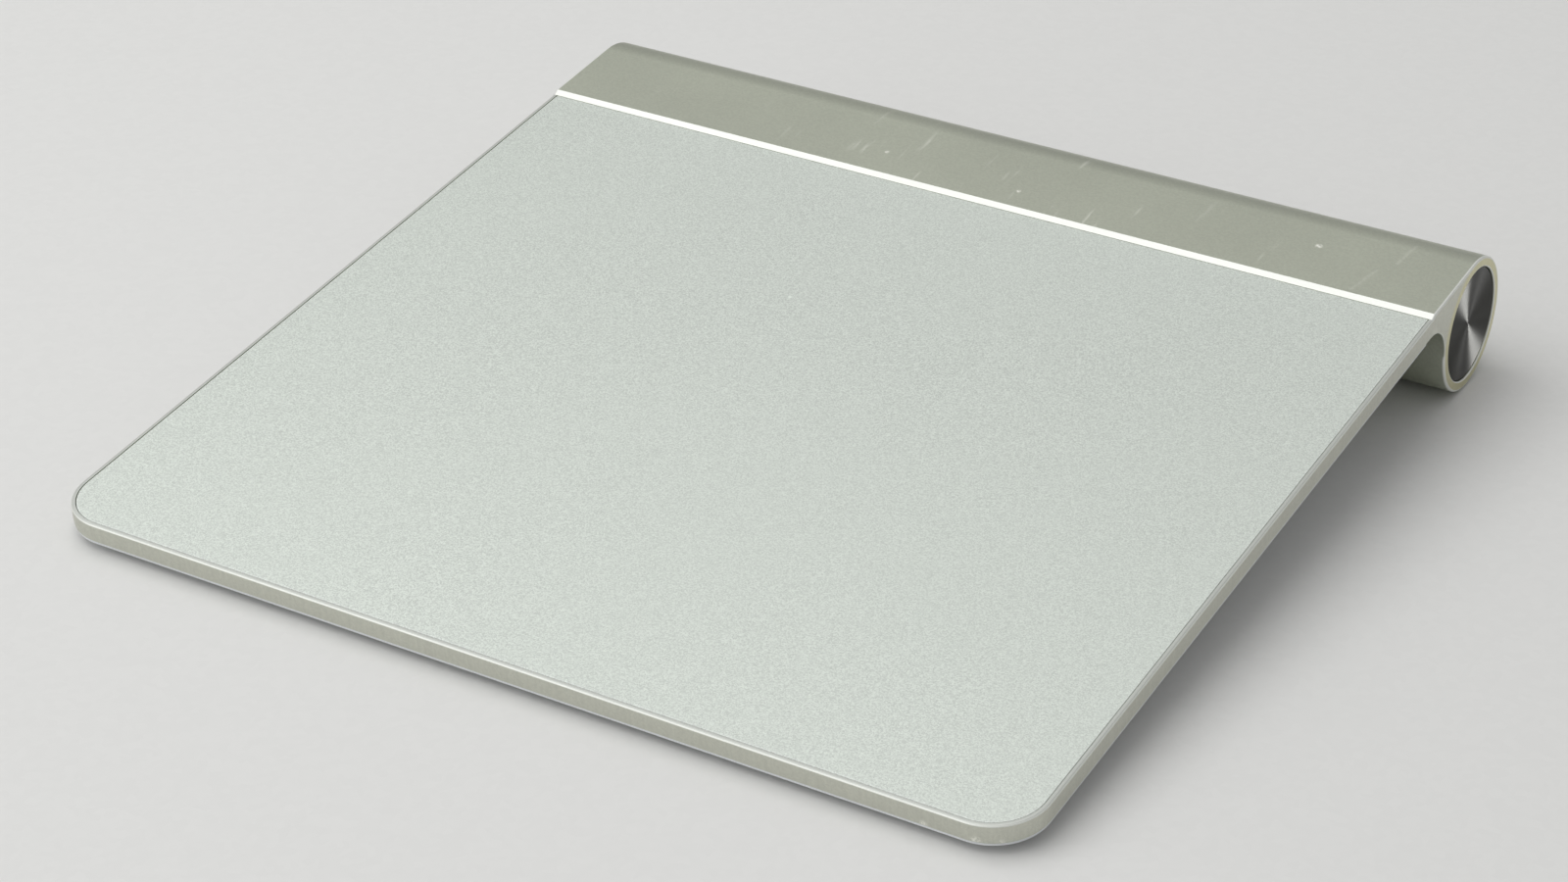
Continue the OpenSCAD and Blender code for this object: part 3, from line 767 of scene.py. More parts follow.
@dataclass(frozen=True)
class SilverGlass(Finish):
    """Etched glass with a silver print behind it, full of fine sparkling flakes.

    Dust is given as places with radii. The tones of smears and dust are factors of the print's colour.
    """

    flake: float = 7000.0
    flake_tone: float = 0.21
    smear_share: float = 0.35
    smear_tone: float = 0.96
    dust_tone: float = 1.25
    dust: tuple[tuple[Vector, float], ...] = ()

    def paint(self, graph: Graph, where: Socket) -> Socket:
        """Builds the silver print with its flakes and a little dust.

        Args:
            graph: the material's tree.
            where: coordinates in metres.

        Returns:
            The colour.
        """
        flakes = Effect.GRAIN.place(graph, where, self.flake)
        print_tone = graph.mix(flakes, self.tint(1 - self.flake_tone), self.tint(1 + self.flake_tone))
        cloud = Effect.SMEAR.place(graph, where, self.smear)
        smears = graph.math("MULTIPLY", cloud, self.smear_share)
        colour = graph.mix(smears, print_tone, self.tint(self.smear_tone))
        for place, radius in self.dust:
            colour = graph.mix(graph.near(where, place, radius), colour, self.tint(self.dust_tone))
        return colour


@dataclass(frozen=True)
class PrintedBoard(Finish):
    """Lacquered circuit board with copper tracks that show through."""

    coat: float = 0.3
    track: float = 900.0
    track_wobble: float = 1.5
    track_share: float = 0.5
    track_tone: float = 1.8

    def paint(self, graph: Graph, where: Socket) -> Socket:
        """Builds the lacquer with paler stretches over the tracks.

        Args:
            graph: the material's tree.
            where: coordinates in metres.

        Returns:
            The colour.
        """
        inputs = {"Vector": where, "Scale": self.track, "Distortion": self.track_wobble}
        bands = graph.node("ShaderNodeTexWave", inputs).outputs["Fac"]
        tracks = graph.spread(bands, 0.6, 0.7, 0.0, self.track_share)
        return graph.mix(tracks, super().paint(graph, where), self.tint(self.track_tone))


@dataclass(frozen=True)
class CellJacket(Finish):
    """Plain film on a cell, dark with a copper-coloured band at the nub.

    Each band starts at a place along x.
    """

    band_colour: Colour = shade(176, 112, 60)
    band_starts: tuple[float, ...] = ()
    band_l: float = 13 * MM

    def paint(self, graph: Graph, where: Socket) -> Socket:
        """Builds the film and its bands.

        Args:
            graph: the material's tree.
            where: coordinates in metres.

        Returns:
            The colour.
        """
        along = graph.node("ShaderNodeSeparateXYZ", {0: where}).outputs["X"]
        colour = super().paint(graph, where)
        for start in self.band_starts:
            after = graph.math("GREATER_THAN", along, start)
            before = graph.math("LESS_THAN", along, start + self.band_l)
            colour = graph.mix(graph.math("MULTIPLY", after, before), colour, self.band_colour)
        return colour


def spots(*rows: tuple[float, float, float, float]) -> tuple[tuple[Vector, float], ...]:
    """Turns rows of x, y, z and radius, in millimetres, into places and radii in metres."""
    return tuple((Vector(row[:3]) * MM, row[3] * MM) for row in rows)


FOOT_RUBBER = Finish("foot_rubber", shade(150, 151, 153), 0.72, grain=3000.0, grain_tone=0.08,
                     grain_depth=0.015 * MM)


# The plate's own frame and sizes


@dataclass(frozen=True)
class PlateFrame:
    """The tilted frame of the plate: x along the tube's axis, y along the plate, z off the glass."""

    tilt: float
    axis_y: float
    axis_z: float

    @classmethod
    def from_joints(cls) -> "PlateFrame":
        """Reads the tilt and the tube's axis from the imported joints."""
        joints = {joint["name"]: joint for joint in frame["joints"]}
        normal = joints["foot_press_left"]["axis"]
        axis = joints["cap_turn"]["pos_m"]
        return cls(tilt=math.atan2(-normal[1], normal[2]), axis_y=axis[1], axis_z=axis[2])

    @property
    def placing(self) -> Matrix:
        """What takes a point from the plate's frame into the part's frame."""
        return Matrix.Translation((0.0, self.axis_y, self.axis_z)) @ Matrix.Rotation(self.tilt, 4, "X")

    def settle(self, piece: Piece) -> None:
        """Moves a piece from the plate's frame into the part's frame, in its mesh."""
        move(piece, self.placing)


@dataclass(frozen=True)
class PlateSizes:
    """Sizes that the outer pieces share, in the plate's own frame, in metres."""

    tilt: float
    half_w: float = (CAD_BOX[1].x - CAD_BOX[0].x) / 2
    depth: float = CAD_BOX[1].y - CAD_BOX[0].y
    corner_r: float = 6.8 * MM
    tube_r: float = 8.9 * MM
    bore_r: float = 7.55 * MM
    strip_w: float = 12.6 * MM
    ridge_run: float = 0.8 * MM
    glass_top: float = 8.5 * MM
    glass_low: float = 7.8 * MM
    pocket_floor: float = 7.65 * MM
    ceiling: float = 7.2 * MM
    underside: float = 6.1 * MM
    cover_top: float = 6.0 * MM
    cover_low: float = 5.65 * MM
    rim_w: float = 0.55 * MM
    glass_gap: float = 0.1 * MM
    chamfer: float = 0.25 * MM
    bright_edge: float = 0.28 * MM
    fillet_r: float = 5.2 * MM
    head_gap: float = 0.1 * MM
    foot_side: float = 11 * MM
    foot_inset: float = 9 * MM

    @property
    def front_y(self) -> float:
        """Place of the front edge along the plate."""
        reach = self.depth - self.tube_r - (self.glass_top - self.chamfer) * math.sin(self.tilt)
        return -reach / math.cos(self.tilt)

    @property
    def ridge_foot_y(self) -> float:
        """Place where the slope behind the glass begins."""
        return -self.strip_w - self.ridge_run

    @property
    def fillet_z(self) -> float:
        """Height of the middle of the round under the plate."""
        return self.underside - self.fillet_r

    @property
    def fillet_y(self) -> float:
        """Place of the middle of the round under the plate."""
        return -math.sqrt((self.tube_r + self.fillet_r) ** 2 - self.fillet_z ** 2)

    @property
    def head_r(self) -> float:
        """Radius of the button's and the cap's head."""
        return self.bore_r - self.head_gap

    def foot_middle(self, side: Side, height: float) -> Vector:
        """Middle of a front foot, at a height in the plate's frame."""
        return Vector((side.value * (self.half_w - self.foot_side), self.front_y + self.foot_inset, height))

    def off_outline(self, point: Vector) -> float:
        """How far inside the plate's outer outline a point lies, as seen from above.

        Args:
            point: a point in the plate's frame.

        Returns:
            The distance, less than 0 outside.
        """
        past_side = abs(point.x) - (self.half_w - self.corner_r)
        past_front = self.front_y + self.corner_r - point.y
        if past_side > 0 and past_front > 0:
            return self.corner_r - math.hypot(past_side, past_front)
        return self.corner_r - max(past_side, past_front)

    def on_tube(self, point: Vector) -> bool:
        """Says whether a point lies on the outside of the tube."""
        return close_to(math.hypot(point.y, point.z), self.tube_r)

    def on_tube_end(self, point: Vector) -> bool:
        """Says whether a point lies in the ring at one of the tube's ends."""
        near_end = abs(point.x) > self.half_w - self.bright_edge - NEAR
        return near_end and self.bore_r - NEAR < math.hypot(point.y, point.z) < self.tube_r + NEAR


# The outer pieces


@dataclass
class OuterPiece:
    """A piece that stands for one CAD node and rides on its body."""

    plate: PlateFrame
    sizes: PlateSizes
    node: str = ""
    body: str = "housing"
    slot: str = ""

    def build(self) -> Piece:
        """Builds the mesh in the plate's frame."""
        raise NotImplementedError

    def finishes(self) -> list[Finish]:
        """The finishes of the piece, the main one first."""
        raise NotImplementedError

    def finish_of(self, face: bmesh.types.BMFace) -> int:
        """Number of the finish that a face gets."""
        return 0

    def after_settling(self, piece: Piece) -> None:
        """Shapes what is easier to shape in the part's frame; most pieces need nothing here."""

    def dress(self, piece: Piece) -> None:
        """Gives every face its finish."""
        piece.data.materials.clear()
        for finish in self.finishes():
            piece.data.materials.append(finish.material())
        with editing(piece):
            shape = bmesh.from_edit_mesh(piece.data)
            for face in shape.faces:
                face.material_index = self.finish_of(face)
            bmesh.update_edit_mesh(piece.data)

    def tie(self, piece: Piece) -> None:
        """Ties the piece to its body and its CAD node."""
        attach(piece, self.body)
        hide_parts(self.node)

    def make(self) -> Piece:
        """Builds, dresses and places the piece, and ties it to its CAD node."""
        piece = self.build()
        self.dress(piece)
        self.plate.settle(piece)
        self.after_settling(piece)
        polish_normals(piece)
        self.tie(piece)
        return piece


@dataclass
class BodyShell(OuterPiece):
    """One-piece aluminium body: plate, strip, tube, glass pocket and the pockets underneath.

    The four limits at the end of the sizes tell faces apart by their normals: an upright face has less than
    that along z, the rim's flat has more, and the edges at the ends lie between two shares along x.
    """

    node: str = "body_shell"
    slot: str = "anodised_aluminium"
    tube_steps: int = 144
    fillet_steps: int = 24
    low_edge: float = 0.1 * MM
    bore_chamfer: float = 0.15 * MM
    bore_sides: int = 160
    corner_steps: int = 24
    bright_steps: int = 5
    fine_steps: int = 2
    pocket_land: float = 0.015 * MM
    board_low: Vector = Vector((-43.3, -41.17, 0.0)) * MM
    board_high: Vector = Vector((57.3, -15.57, 0.0)) * MM
    board_r: float = 1.8 * MM
    foot_pocket_r: float = 6.3 * MM
    tail_w: float = 3.6 * MM
    tail_ends: tuple[float, float] = (-38 * MM, 52 * MM)
    tail_end_y: float = -38.37 * MM
    pocket_steps: int = 8
    pocket_spare: float = 1.0 * MM
    upright: float = 0.3
    flat: float = 0.8
    end_slant_low: float = 0.1
    end_slant_high: float = 0.995

    def build(self) -> Piece:
        """Draws the section, pushes it along the tube and shapes its edges and pockets."""
        piece = self.section()
        with editing(piece):
            pick(Element.FACE, lambda face: True)
            push(x=2 * self.sizes.half_w)
            face_outwards()
            self.round_corners()
            self.chamfer_edges()
            self.sink_glass_pocket()
        self.bore(piece)
        self.cut_pockets(piece)
        return piece

    def section(self) -> Piece:
        """Draws the section across the tube, the strip and the plate at the left end."""
        sizes = self.sizes
        left = -sizes.half_w

        def at(y: float, z: float) -> Vector:
            """A point of the section."""
            return Vector((left, y, z))

        fillet_turn = math.atan2(sizes.fillet_z, -sizes.fillet_y)
        pen = Pen("body_shell_metal", at(0.0, sizes.tube_r))
        pen.arc(at(0.0, 0.0), -(1.5 * math.pi + fillet_turn), self.tube_steps)
        pen.arc(at(sizes.fillet_y, sizes.fillet_z), math.pi / 2 + fillet_turn, self.fillet_steps)
        pen.line(at(sizes.front_y, sizes.underside))
        pen.line(at(sizes.front_y, sizes.glass_top))
        pen.line(at(sizes.ridge_foot_y, sizes.glass_top))
        pen.line(at(-sizes.strip_w, sizes.tube_r))
        pen.line(at(0.0, sizes.tube_r))
        return pen.fill()

    def round_corners(self) -> None:
        """Rounds the two upright edges at the front."""
        pick_upright(self.sizes.front_y)
        bevel(self.sizes.corner_r, self.corner_steps)

    def chamfer_edges(self) -> None:
        """Chamfers the lower edges a little, and the upper edges and the tube's ends more."""
        sizes = self.sizes

        def on_edge(edge: bmesh.types.BMEdge, low: bool) -> bool:
            """Says whether an edge lies on an outline.

            Args:
                edge: the edge.
                low: whether the lower outline is meant, not the upper one.

            Returns:
                Whether it lies there.
            """
            points = [vert.co for vert in edge.verts]
            if any(abs(sizes.off_outline(point)) > NEAR for point in points):
                return False
            spans = abs(points[0].x - points[1].x) > sizes.half_w
            if spans and points[0].y > sizes.front_y + NEAR:
                return False
            if abs(points[0].z - points[1].z) > sizes.fillet_r:
                return False
            is_low = all(point.z < sizes.underside + NEAR and not sizes.on_tube(point)
                         or close_to(point.z, sizes.underside)
                         or close_to(math.hypot(point.y - sizes.fillet_y, point.z - sizes.fillet_z),
                                     sizes.fillet_r) for point in points)
            is_high = all(point.z > sizes.glass_top - NEAR or sizes.on_tube(point) for point in points)
            return is_low if low else is_high

        pick(Element.EDGE, lambda edge: on_edge(edge, low=True))
        bevel(self.low_edge, self.fine_steps)
        pick(Element.EDGE, lambda edge: on_edge(edge, low=False))
        bevel(sizes.bright_edge, self.bright_steps)

    def sink_glass_pocket(self) -> None:
        """Insets the top of the plate and pushes the pocket for the glass down."""
        sizes = self.sizes

        def is_top(face: bmesh.types.BMFace) -> bool:
            """Says whether a face is the wide top of the plate."""
            is_wide = face.calc_area() > sizes.half_w ** 2 / 2
            at_top = close_to(face.calc_center_median().z, sizes.glass_top)
            return is_wide and at_top and face.normal.z > LEVEL

        flat_w = sizes.rim_w - sizes.bright_edge
        pick(Element.FACE, is_top)
        bpy.ops.mesh.inset(thickness=flat_w, depth=0.0)
        pick(Element.VERT, lambda vert: close_to(vert.co.y, sizes.ridge_foot_y - flat_w)
             and close_to(vert.co.z, sizes.glass_top) and abs(vert.co.x) < sizes.half_w - sizes.rim_w + NEAR)
        bpy.ops.transform.translate(value=(0.0, flat_w - self.pocket_land, 0.0))
        pick(Element.FACE, is_top)
        push(z=sizes.pocket_floor - sizes.glass_top)

    def bore(self, piece: Piece) -> None:
        """Bores the tube from end to end and breaks the bore's edges."""
        sizes = self.sizes
        length = 2 * sizes.half_w + CUTTER_SPARE
        cut(piece, rod("bore", sizes.bore_r, Vector(), length, ALONG_X, sides=self.bore_sides))
        with editing(piece):
            pick_edges(lambda point: close_to(abs(point.x), sizes.half_w)
                       and close_to(math.hypot(point.y, point.z), sizes.bore_r))
            bevel(self.bore_chamfer, self.fine_steps)

    def cut_pockets(self, piece: Piece) -> None:
        """Cuts the pockets for the board, the click feet and their ribbons into the underside."""
        sizes = self.sizes
        low_z = sizes.underside - self.pocket_spare
        lift = Vector((0.0, 0.0, sizes.ceiling))
        drop = Vector((0.0, 0.0, low_z))
        cut(piece, slab("board_pocket", self.board_low + drop, self.board_high + lift, self.board_r,
                        self.board_r, steps=self.pocket_steps))
        for side, end_x in zip(Side, self.tail_ends):
            middle = sizes.foot_middle(side, (low_z + sizes.ceiling) / 2)
            cut(piece, rod("foot_pocket", self.foot_pocket_r, middle, sizes.ceiling - low_z, ALONG_Z))
            run = Vector((end_x - middle.x, self.tail_end_y - middle.y, 0.0))
            tail = block("ribbon_pocket", Vector((0.0, -self.tail_w / 2, low_z)),
                         Vector((run.length, self.tail_w / 2, sizes.ceiling - NEAR)))
            tail.matrix_world = (Matrix.Translation((middle.x, middle.y, 0.0))
                                 @ Matrix.Rotation(math.atan2(run.y, run.x), 4, "Z"))
            cut(piece, tail)

    def finishes(self) -> list[Finish]:
        """Satin metal, streaked walls with a painted creamy reflection round the tube's end, chamfers with a
        painted highlight, and the grey rim round the glass.
        """
        wall_knocks = spots((53.4, -65.4, 1.6, 0.6), (59.6, -65.3, 1.6, 0.8), (62.0, -64.2, 1.6, 0.6))
        strip_knocks = spots((45.7, 51.4, 17.6, 0.6), (-15.3, 48.1, 17.2, 0.4), (5.2, 46.8, 17.0, 0.4))
        strip_scratches = ((Vector((53.3, 43.9, 16.7)) * MM, Vector((54.5, 49.3, 17.3)) * MM),
                           (Vector((56.2, 51.8, 17.6)) * MM, Vector((56.7, 56.6, 18.1)) * MM))
        return [
            SatinMetal("satin_aluminium", shade(207, 211, 195), 0.38, knocks=strip_knocks,
                       scratches=strip_scratches),
            MilledMetal("milled_aluminium", shade(206, 207, 196), 0.38, knocks=wall_knocks,
                        axis_y=self.plate.axis_y, axis_z=self.plate.axis_z),
            # Painted highlight: a pale, mostly non-metal colour that keeps the chamfers and the ridge white as if
            # lit from any side.
            Finish("bright_cut_aluminium", shade(232, 234, 228), 0.4, metallic=0.35, grain_tone=0.015,
                   grain_depth=0.0005 * MM),
            Finish("rim_aluminium", shade(196, 199, 193), 0.42, metallic=0.5, grain_tone=0.015,
                   grain_depth=0.0005 * MM),
        ]

    def finish_of(self, face: bmesh.types.BMFace) -> int:
        """Satin on the strip and the tube, streaks on the walls, a painted highlight on the chamfers and the
        ridge, and the grey rim.

        Args:
            face: the face.

        Returns:
            Number of its finish, in the order of the finishes.
        """
        satin, milled, bright, rim = range(4)
        sizes = self.sizes
        middle = face.calc_center_median()
        normal = face.normal
        inside = sizes.off_outline(middle)
        on_ridge = sizes.ridge_foot_y - NEAR < middle.y < -sizes.strip_w
        if on_ridge and normal.z > self.upright and normal.y < -self.upright:
            return bright
        if inside < sizes.rim_w and middle.y < sizes.ridge_foot_y and normal.z > self.upright:
            return bright if normal.z < self.flat else rim
        on_strip_edge = inside < sizes.bright_edge + NEAR and middle.y > sizes.ridge_foot_y
        is_slanted = self.end_slant_low < abs(normal.x) < self.end_slant_high
        if is_slanted and (on_strip_edge or sizes.on_tube_end(middle)):
            return bright
        if inside < 3 * NEAR and abs(normal.z) < self.upright:
            return milled
        return satin


@dataclass
class TouchGlass(OuterPiece):
    """Glass sheet in the body's pocket, with a ground arris round its upper edge."""

    node: str = "touch_glass"
    slot: str = "silver_glass"
    rear_r: float = 0.15 * MM
    rear_gap: float = 0.04 * MM
    arris: float = 0.12 * MM
    low_edge: float = 0.03 * MM
    edge_steps: int = 2

    def build(self) -> Piece:
        """Makes the sheet and grinds its edges."""
        sizes = self.sizes
        edge = sizes.rim_w + sizes.glass_gap
        half_w = sizes.half_w - edge
        piece = slab("touch_glass_sheet", Vector((-half_w, sizes.front_y + edge, sizes.glass_low)),
                     Vector((half_w, sizes.ridge_foot_y - self.rear_gap, sizes.glass_top)),
                     sizes.corner_r - edge, self.rear_r)
        with editing(piece):
            for height, width in ((sizes.glass_low, self.low_edge), (sizes.glass_top, self.arris)):
                pick_edges(lambda point: close_to(point.z, height))
                bevel(width, self.edge_steps)
        return piece

    def finishes(self) -> list[Finish]:
        """Silver print behind etched glass, and the bare ground arris."""
        return [
            SilverGlass("silver_backed_glass", shade(216, 222, 215), 0.48, metallic=0.6, smear=18.0,
                        dust=spots((-9.2, 12.5, 12.7, 0.35))),
            SilverGlass("ground_glass_edge", shade(226, 231, 226), 0.5, metallic=0.0),
        ]

    def finish_of(self, face: bmesh.types.BMFace) -> int:
        """Bare glass on the edges."""
        return 0 if face.normal.z > LEVEL else 1


@dataclass
class BottomCover(OuterPiece):
    """Glued cover under the plate, with round holes for the front feet."""

    node: str = "bottom_cover"
    slot: str = "white_plastic"
    inset: float = 0.15 * MM
    rear_r: float = 1.0 * MM
    edge: float = 0.12 * MM
    edge_steps: int = 3
    hole_r: float = 4.5 * MM

    def build(self) -> Piece:
        """Makes the sheet, its foot holes and its round lower edges."""
        sizes = self.sizes
        half_w = sizes.half_w - self.inset
        piece = slab("bottom_cover_sheet", Vector((-half_w, sizes.front_y + self.inset, sizes.cover_low)),
                     Vector((half_w, sizes.fillet_y - self.inset, sizes.cover_top)),
                     sizes.corner_r - self.inset, self.rear_r)
        with editing(piece):
            pick_edges(lambda point: close_to(point.z, sizes.cover_low))
            bevel(self.edge, self.edge_steps)
        for side in Side:
            middle = sizes.foot_middle(side, sizes.cover_low)
            cut(piece, rod("foot_hole", self.hole_r, middle, CUTTER_SPARE, ALONG_Z))
        with editing(piece):
            pick_edges(lambda point: close_to(point.z, sizes.cover_low) and self.on_hole(point))
            bevel(self.edge, self.edge_steps)
        return piece

    def on_hole(self, point: Vector) -> bool:
        """Says whether a point lies on the wall of a foot hole."""
        side = Side.RIGHT if point.x > 0 else Side.LEFT
        return close_to((point - self.sizes.foot_middle(side, point.z)).length, self.hole_r)

    def finishes(self) -> list[Finish]:
        """Pale moulded plastic."""
        return [Finish("cover_plastic", shade(224, 227, 229), 0.45, grain=5000.0, grain_tone=0.025,
                       grain_depth=0.008 * MM)]


@dataclass
class TubeEnd(OuterPiece):
    """A turned piece in one end of the tube, with a hollow face."""

    slot: str = "spun_aluminium"
    side: Side = Side.RIGHT
    recess: float = 0.2 * MM
    head_t: float = 2.2 * MM
    face_rim: float = 0.8 * MM
    dish: float = 0.3 * MM
    dish_steps: int = 20
    edge: float = 0.12 * MM

    @property
    def face_x(self) -> float:
        """Place of the face's rim."""
        return self.side.value * (self.sizes.half_w - self.recess)

    @property
    def back_x(self) -> float:
        """Place of the back of the head."""
        return self.face_x - self.side.value * self.head_t

    @property
    def dish_r(self) -> float:
        """Radius of the hollow."""
        return self.sizes.head_r - self.face_rim

    def head_profile(self) -> list[tuple[float, float]]:
        """Profile of the head from the middle of its hollow to the rim of its back."""
        way = self.side.value
        head_r = self.sizes.head_r
        shares = [step / self.dish_steps for step in range(self.dish_steps + 1)]
        hollow = [(self.face_x - way * self.dish * (1 - share ** 2), self.dish_r * share)
                  for share in shares]
        return hollow + [(self.face_x, head_r - self.edge), (self.face_x - way * self.edge, head_r),
                          (self.back_x, head_r)]

    def spun(self, name: str, colour: Colour, roughness: float) -> Finish:
        """Metal that was spun about the tube's axis."""
        return SpunMetal(name, colour, roughness, axis_y=self.plate.axis_y, axis_z=self.plate.axis_z)


@dataclass
class PowerButton(TubeEnd):
    """Round press button in the right end of the tube, with its grooved stem."""

    node: str = "power_button"
    body: str = "power_button"
    stem_r: float = 2.0 * MM
    groove_r: float = 1.6 * MM
    clip_x: float = 57.48 * MM
    clip_t: float = 0.4 * MM
    tip_x: float = 55.5 * MM

    def build(self) -> Piece:
        """Turns the head with its hollow face, the stem and the groove for the clip."""
        groove_end = self.clip_x + self.clip_t
        return turned("power_button_disc", self.head_profile() + [
            (self.back_x, self.stem_r), (groove_end, self.stem_r), (groove_end, self.groove_r),
            (self.clip_x, self.groove_r), (self.clip_x, self.stem_r), (self.tip_x, self.stem_r),
            (self.tip_x, 0.0),
        ])

    def finishes(self) -> list[Finish]:
        """Spun metal, darkened to paint in the dark reflection of its surroundings."""
        # Painted reflection: the colour lies well below the metal's own and stands in for dark surroundings
        # mirrored in the disc.
        return [self.spun("spun_button", shade(80, 80, 78), 0.5)]


@dataclass
class BatteryCap(TubeEnd):
    """Screw cap in the left end of the tube: hollow face, coin slot and a real thread behind it."""

    node: str = "battery_cap"
    body: str = "battery_cap"
    side: Side = Side.LEFT
    head_t: float = 1.8 * MM
    slot_w: float = 1.8 * MM
    slot_depth: float = 1.2 * MM
    coin_r: float = 11.0 * MM
    coin_sides: int = 192
    thread_r: float = 6.71 * MM
    thread_depth: float = 0.4 * MM
    thread_l: float = 5.5 * MM
    thread_overlap: float = 0.4 * MM
    thread_steps: int = 96
    pitch: float = 1.25 * MM
    seat_r: float = 5.81 * MM
    seat_depth: float = 3.0 * MM
    face_on: float = 0.98

    def build(self) -> Piece:
        """Turns the head, cuts the slot, and screws the thread on behind it."""
        head = self.head()
        combine(head, self.thread(), "UNION")
        with editing(head):
            weld()
        return head

    def head(self) -> Piece:
        """Turns the head and cuts the coin slot."""
        head = turned("battery_cap_disc", self.head_profile() + [(self.back_x, 0.0)])
        middle = Vector((self.face_x + self.slot_depth - self.coin_r, 0.0, 0.0))
        cut(head, rod("coin", self.coin_r, middle, self.slot_w, ALONG_Y, sides=self.coin_sides))
        return head

    def thread(self) -> Piece:
        """Screws one tooth round the axis, cuts the ends flat and bores the seat of the spring."""
        start_x = self.back_x - self.thread_overlap
        end_x = self.back_x + self.thread_l
        root_r = self.thread_r - self.thread_depth
        # One tooth: shares of the pitch, and radii.
        tooth = [(0.0, root_r), (0.2, root_r), (0.45, self.thread_r), (0.65, self.thread_r), (0.9, root_r),
                 (1.0, root_r)]
        first_x = start_x - 2 * self.pitch
        points = [Vector((first_x + share * self.pitch, 0.0, radius)) for share, radius in tooth]
        thread = Pen.through("battery_cap_thread", points).piece
        bpy.ops.object.mode_set(mode="OBJECT")
        winding = thread.modifiers.new("winding", "SCREW")
        winding.axis = "X"
        winding.screw_offset = self.pitch
        winding.steps = self.thread_steps
        winding.render_steps = self.thread_steps
        winding.iterations = math.ceil((end_x - first_x) / self.pitch) + 1
        focus(thread)
        bpy.ops.object.modifier_apply(modifier=winding.name)
        with editing(thread):
            weld()
            for place_x, way in ((start_x, -1.0), (end_x, 1.0)):
                slice_off((place_x, 0.0, 0.0), (way, 0.0, 0.0))
            face_outwards()
        seat = Vector((end_x, 0.0, 0.0))
        cut(thread, rod("spring_seat", self.seat_r, seat, 2 * self.seat_depth, ALONG_X))
        return thread

    def finishes(self) -> list[Finish]:
        """Spun metal, and a darker colour painted into the slot as its shade."""
        return [
            self.spun("spun_cap", shade(196, 195, 192), 0.32),
            # Painted shade: the slot's walls and floor get a darker colour for the shade inside it.
            Finish("cut_slot", shade(112, 112, 110), 0.5, metallic=1.0, grain_tone=0.1),
        ]

    def finish_of(self, face: bmesh.types.BMFace) -> int:
        """The painted shade of the slot on its walls and its floor.

        Args:
            face: the face.

        Returns:
            Number of its finish, in the order of the finishes.
        """
        middle = face.calc_center_median()
        in_dish = math.hypot(middle.y, middle.z) < self.dish_r
        at_front = middle.x < self.face_x + self.slot_depth + NEAR
        below_dish = middle.x > self.face_x + self.dish + NEAR or abs(face.normal.x) < self.face_on
        return 1 if in_dish and at_front and below_dish else 0


@dataclass
class RubberFoot(OuterPiece):
    """A rubber foot on one side."""

    side: Side = Side.LEFT
    slot: str = "grey_rubber"

    def finishes(self) -> list[Finish]:
        """Grey rubber."""
        return [FOOT_RUBBER]


@dataclass
class FrontFoot(RubberFoot):
    """Rubber front foot, cut level with the desk, with a round lower edge."""

    radius: float = 4.2 * MM
    top_z: float = 6.02 * MM
    edge: float = 0.35 * MM
    edge_steps: int = 5

    def build(self) -> Piece:
        """Makes the post of the foot, longer than it ends up."""
        middle = self.sizes.foot_middle(self.side, self.top_z / 2)
        return rod(f"front_foot_{self.side.word}_pad", self.radius, middle, self.top_z, ALONG_Z)

    def after_settling(self, piece: Piece) -> None:
        """Cuts the foot level with the desk and rounds its lower edge."""
        with editing(piece):
            slice_off((0.0, 0.0, 0.0), (0.0, 0.0, -1.0))
            pick_edges(lambda point: close_to(point.z, 0.0))
            bevel(self.edge, self.edge_steps)


@dataclass
class RearFoot(RubberFoot):
    """Strip of rubber in a groove under the tube, with round ends and edges."""

    length: float = 24 * MM
    width: float = 4 * MM
    height: float = 0.7 * MM
    foot_side: float = 20 * MM
    edge: float = 0.15 * MM
    edge_steps: int = 4
    end_steps: int = 16

    def build(self) -> Piece:
        """Makes the strip at the desk, under the tube's axis, and turns it into the plate's frame."""
        middle_x = self.side.value * (self.sizes.half_w - self.foot_side)
        axis_y = self.plate.axis_y
        low = Vector((middle_x - self.length / 2, axis_y - self.width / 2, 0.0))
        high = Vector((middle_x + self.length / 2, axis_y + self.width / 2, self.height))
        end_r = self.width / 2 - NEAR
        piece = slab(f"rear_foot_{self.side.word}_strip", low, high, end_r, end_r,
                     steps=self.end_steps)
        with editing(piece):
            pick_edges(lambda point: close_to(point.z, 0.0))
            bevel(self.edge, self.edge_steps)
        move(piece, self.plate.placing.inverted())
        return piece


# The inner pieces


@dataclass
class SnapDome(OuterPiece):
    """Thin steel dome above a front foot, which flattens when the foot is pressed."""

    side: Side = Side.LEFT
    slot: str = "steel"
    rim_z: float = 7.1 * MM
    rim_r: float = 2.5 * MM
    height: float = 0.25 * MM
    sheet: float = 0.1 * MM
    pressed_share: float = 0.06
    steps: int = 12

    def build(self) -> Piece:
        """Turns the dome and stands it on its head, with its rim up against the flexible circuit."""
        shares = [step / self.steps for step in range(self.steps + 1)]
        outside = [((self.height - self.sheet) * share ** 2, self.rim_r * share) for share in shares]
        inside = [(x + self.sheet, radius) for x, radius in reversed(outside)]
        piece = turned(f"click_dome_{self.side.word}_snap", outside + inside)
        apex = self.sizes.foot_middle(self.side, self.rim_z - self.height)
        move(piece, Matrix.Translation(apex) @ Matrix.Rotation(-math.pi / 2, 4, "Y"))
        return piece

    def tie(self, piece: Piece) -> None:
        """Ties the dome to its body and its CAD node, and gives it a mesh of its own."""
        super().tie(piece)
        placing = self.plate.placing
        placing @ self.sizes.foot_middle(self.side, self.rim_z)
        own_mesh(piece)

    def finishes(self) -> list[Finish]:
        """Bright spring steel."""
        return [Finish("dome_steel", shade(200, 202, 204), 0.24, metallic=1.0)]


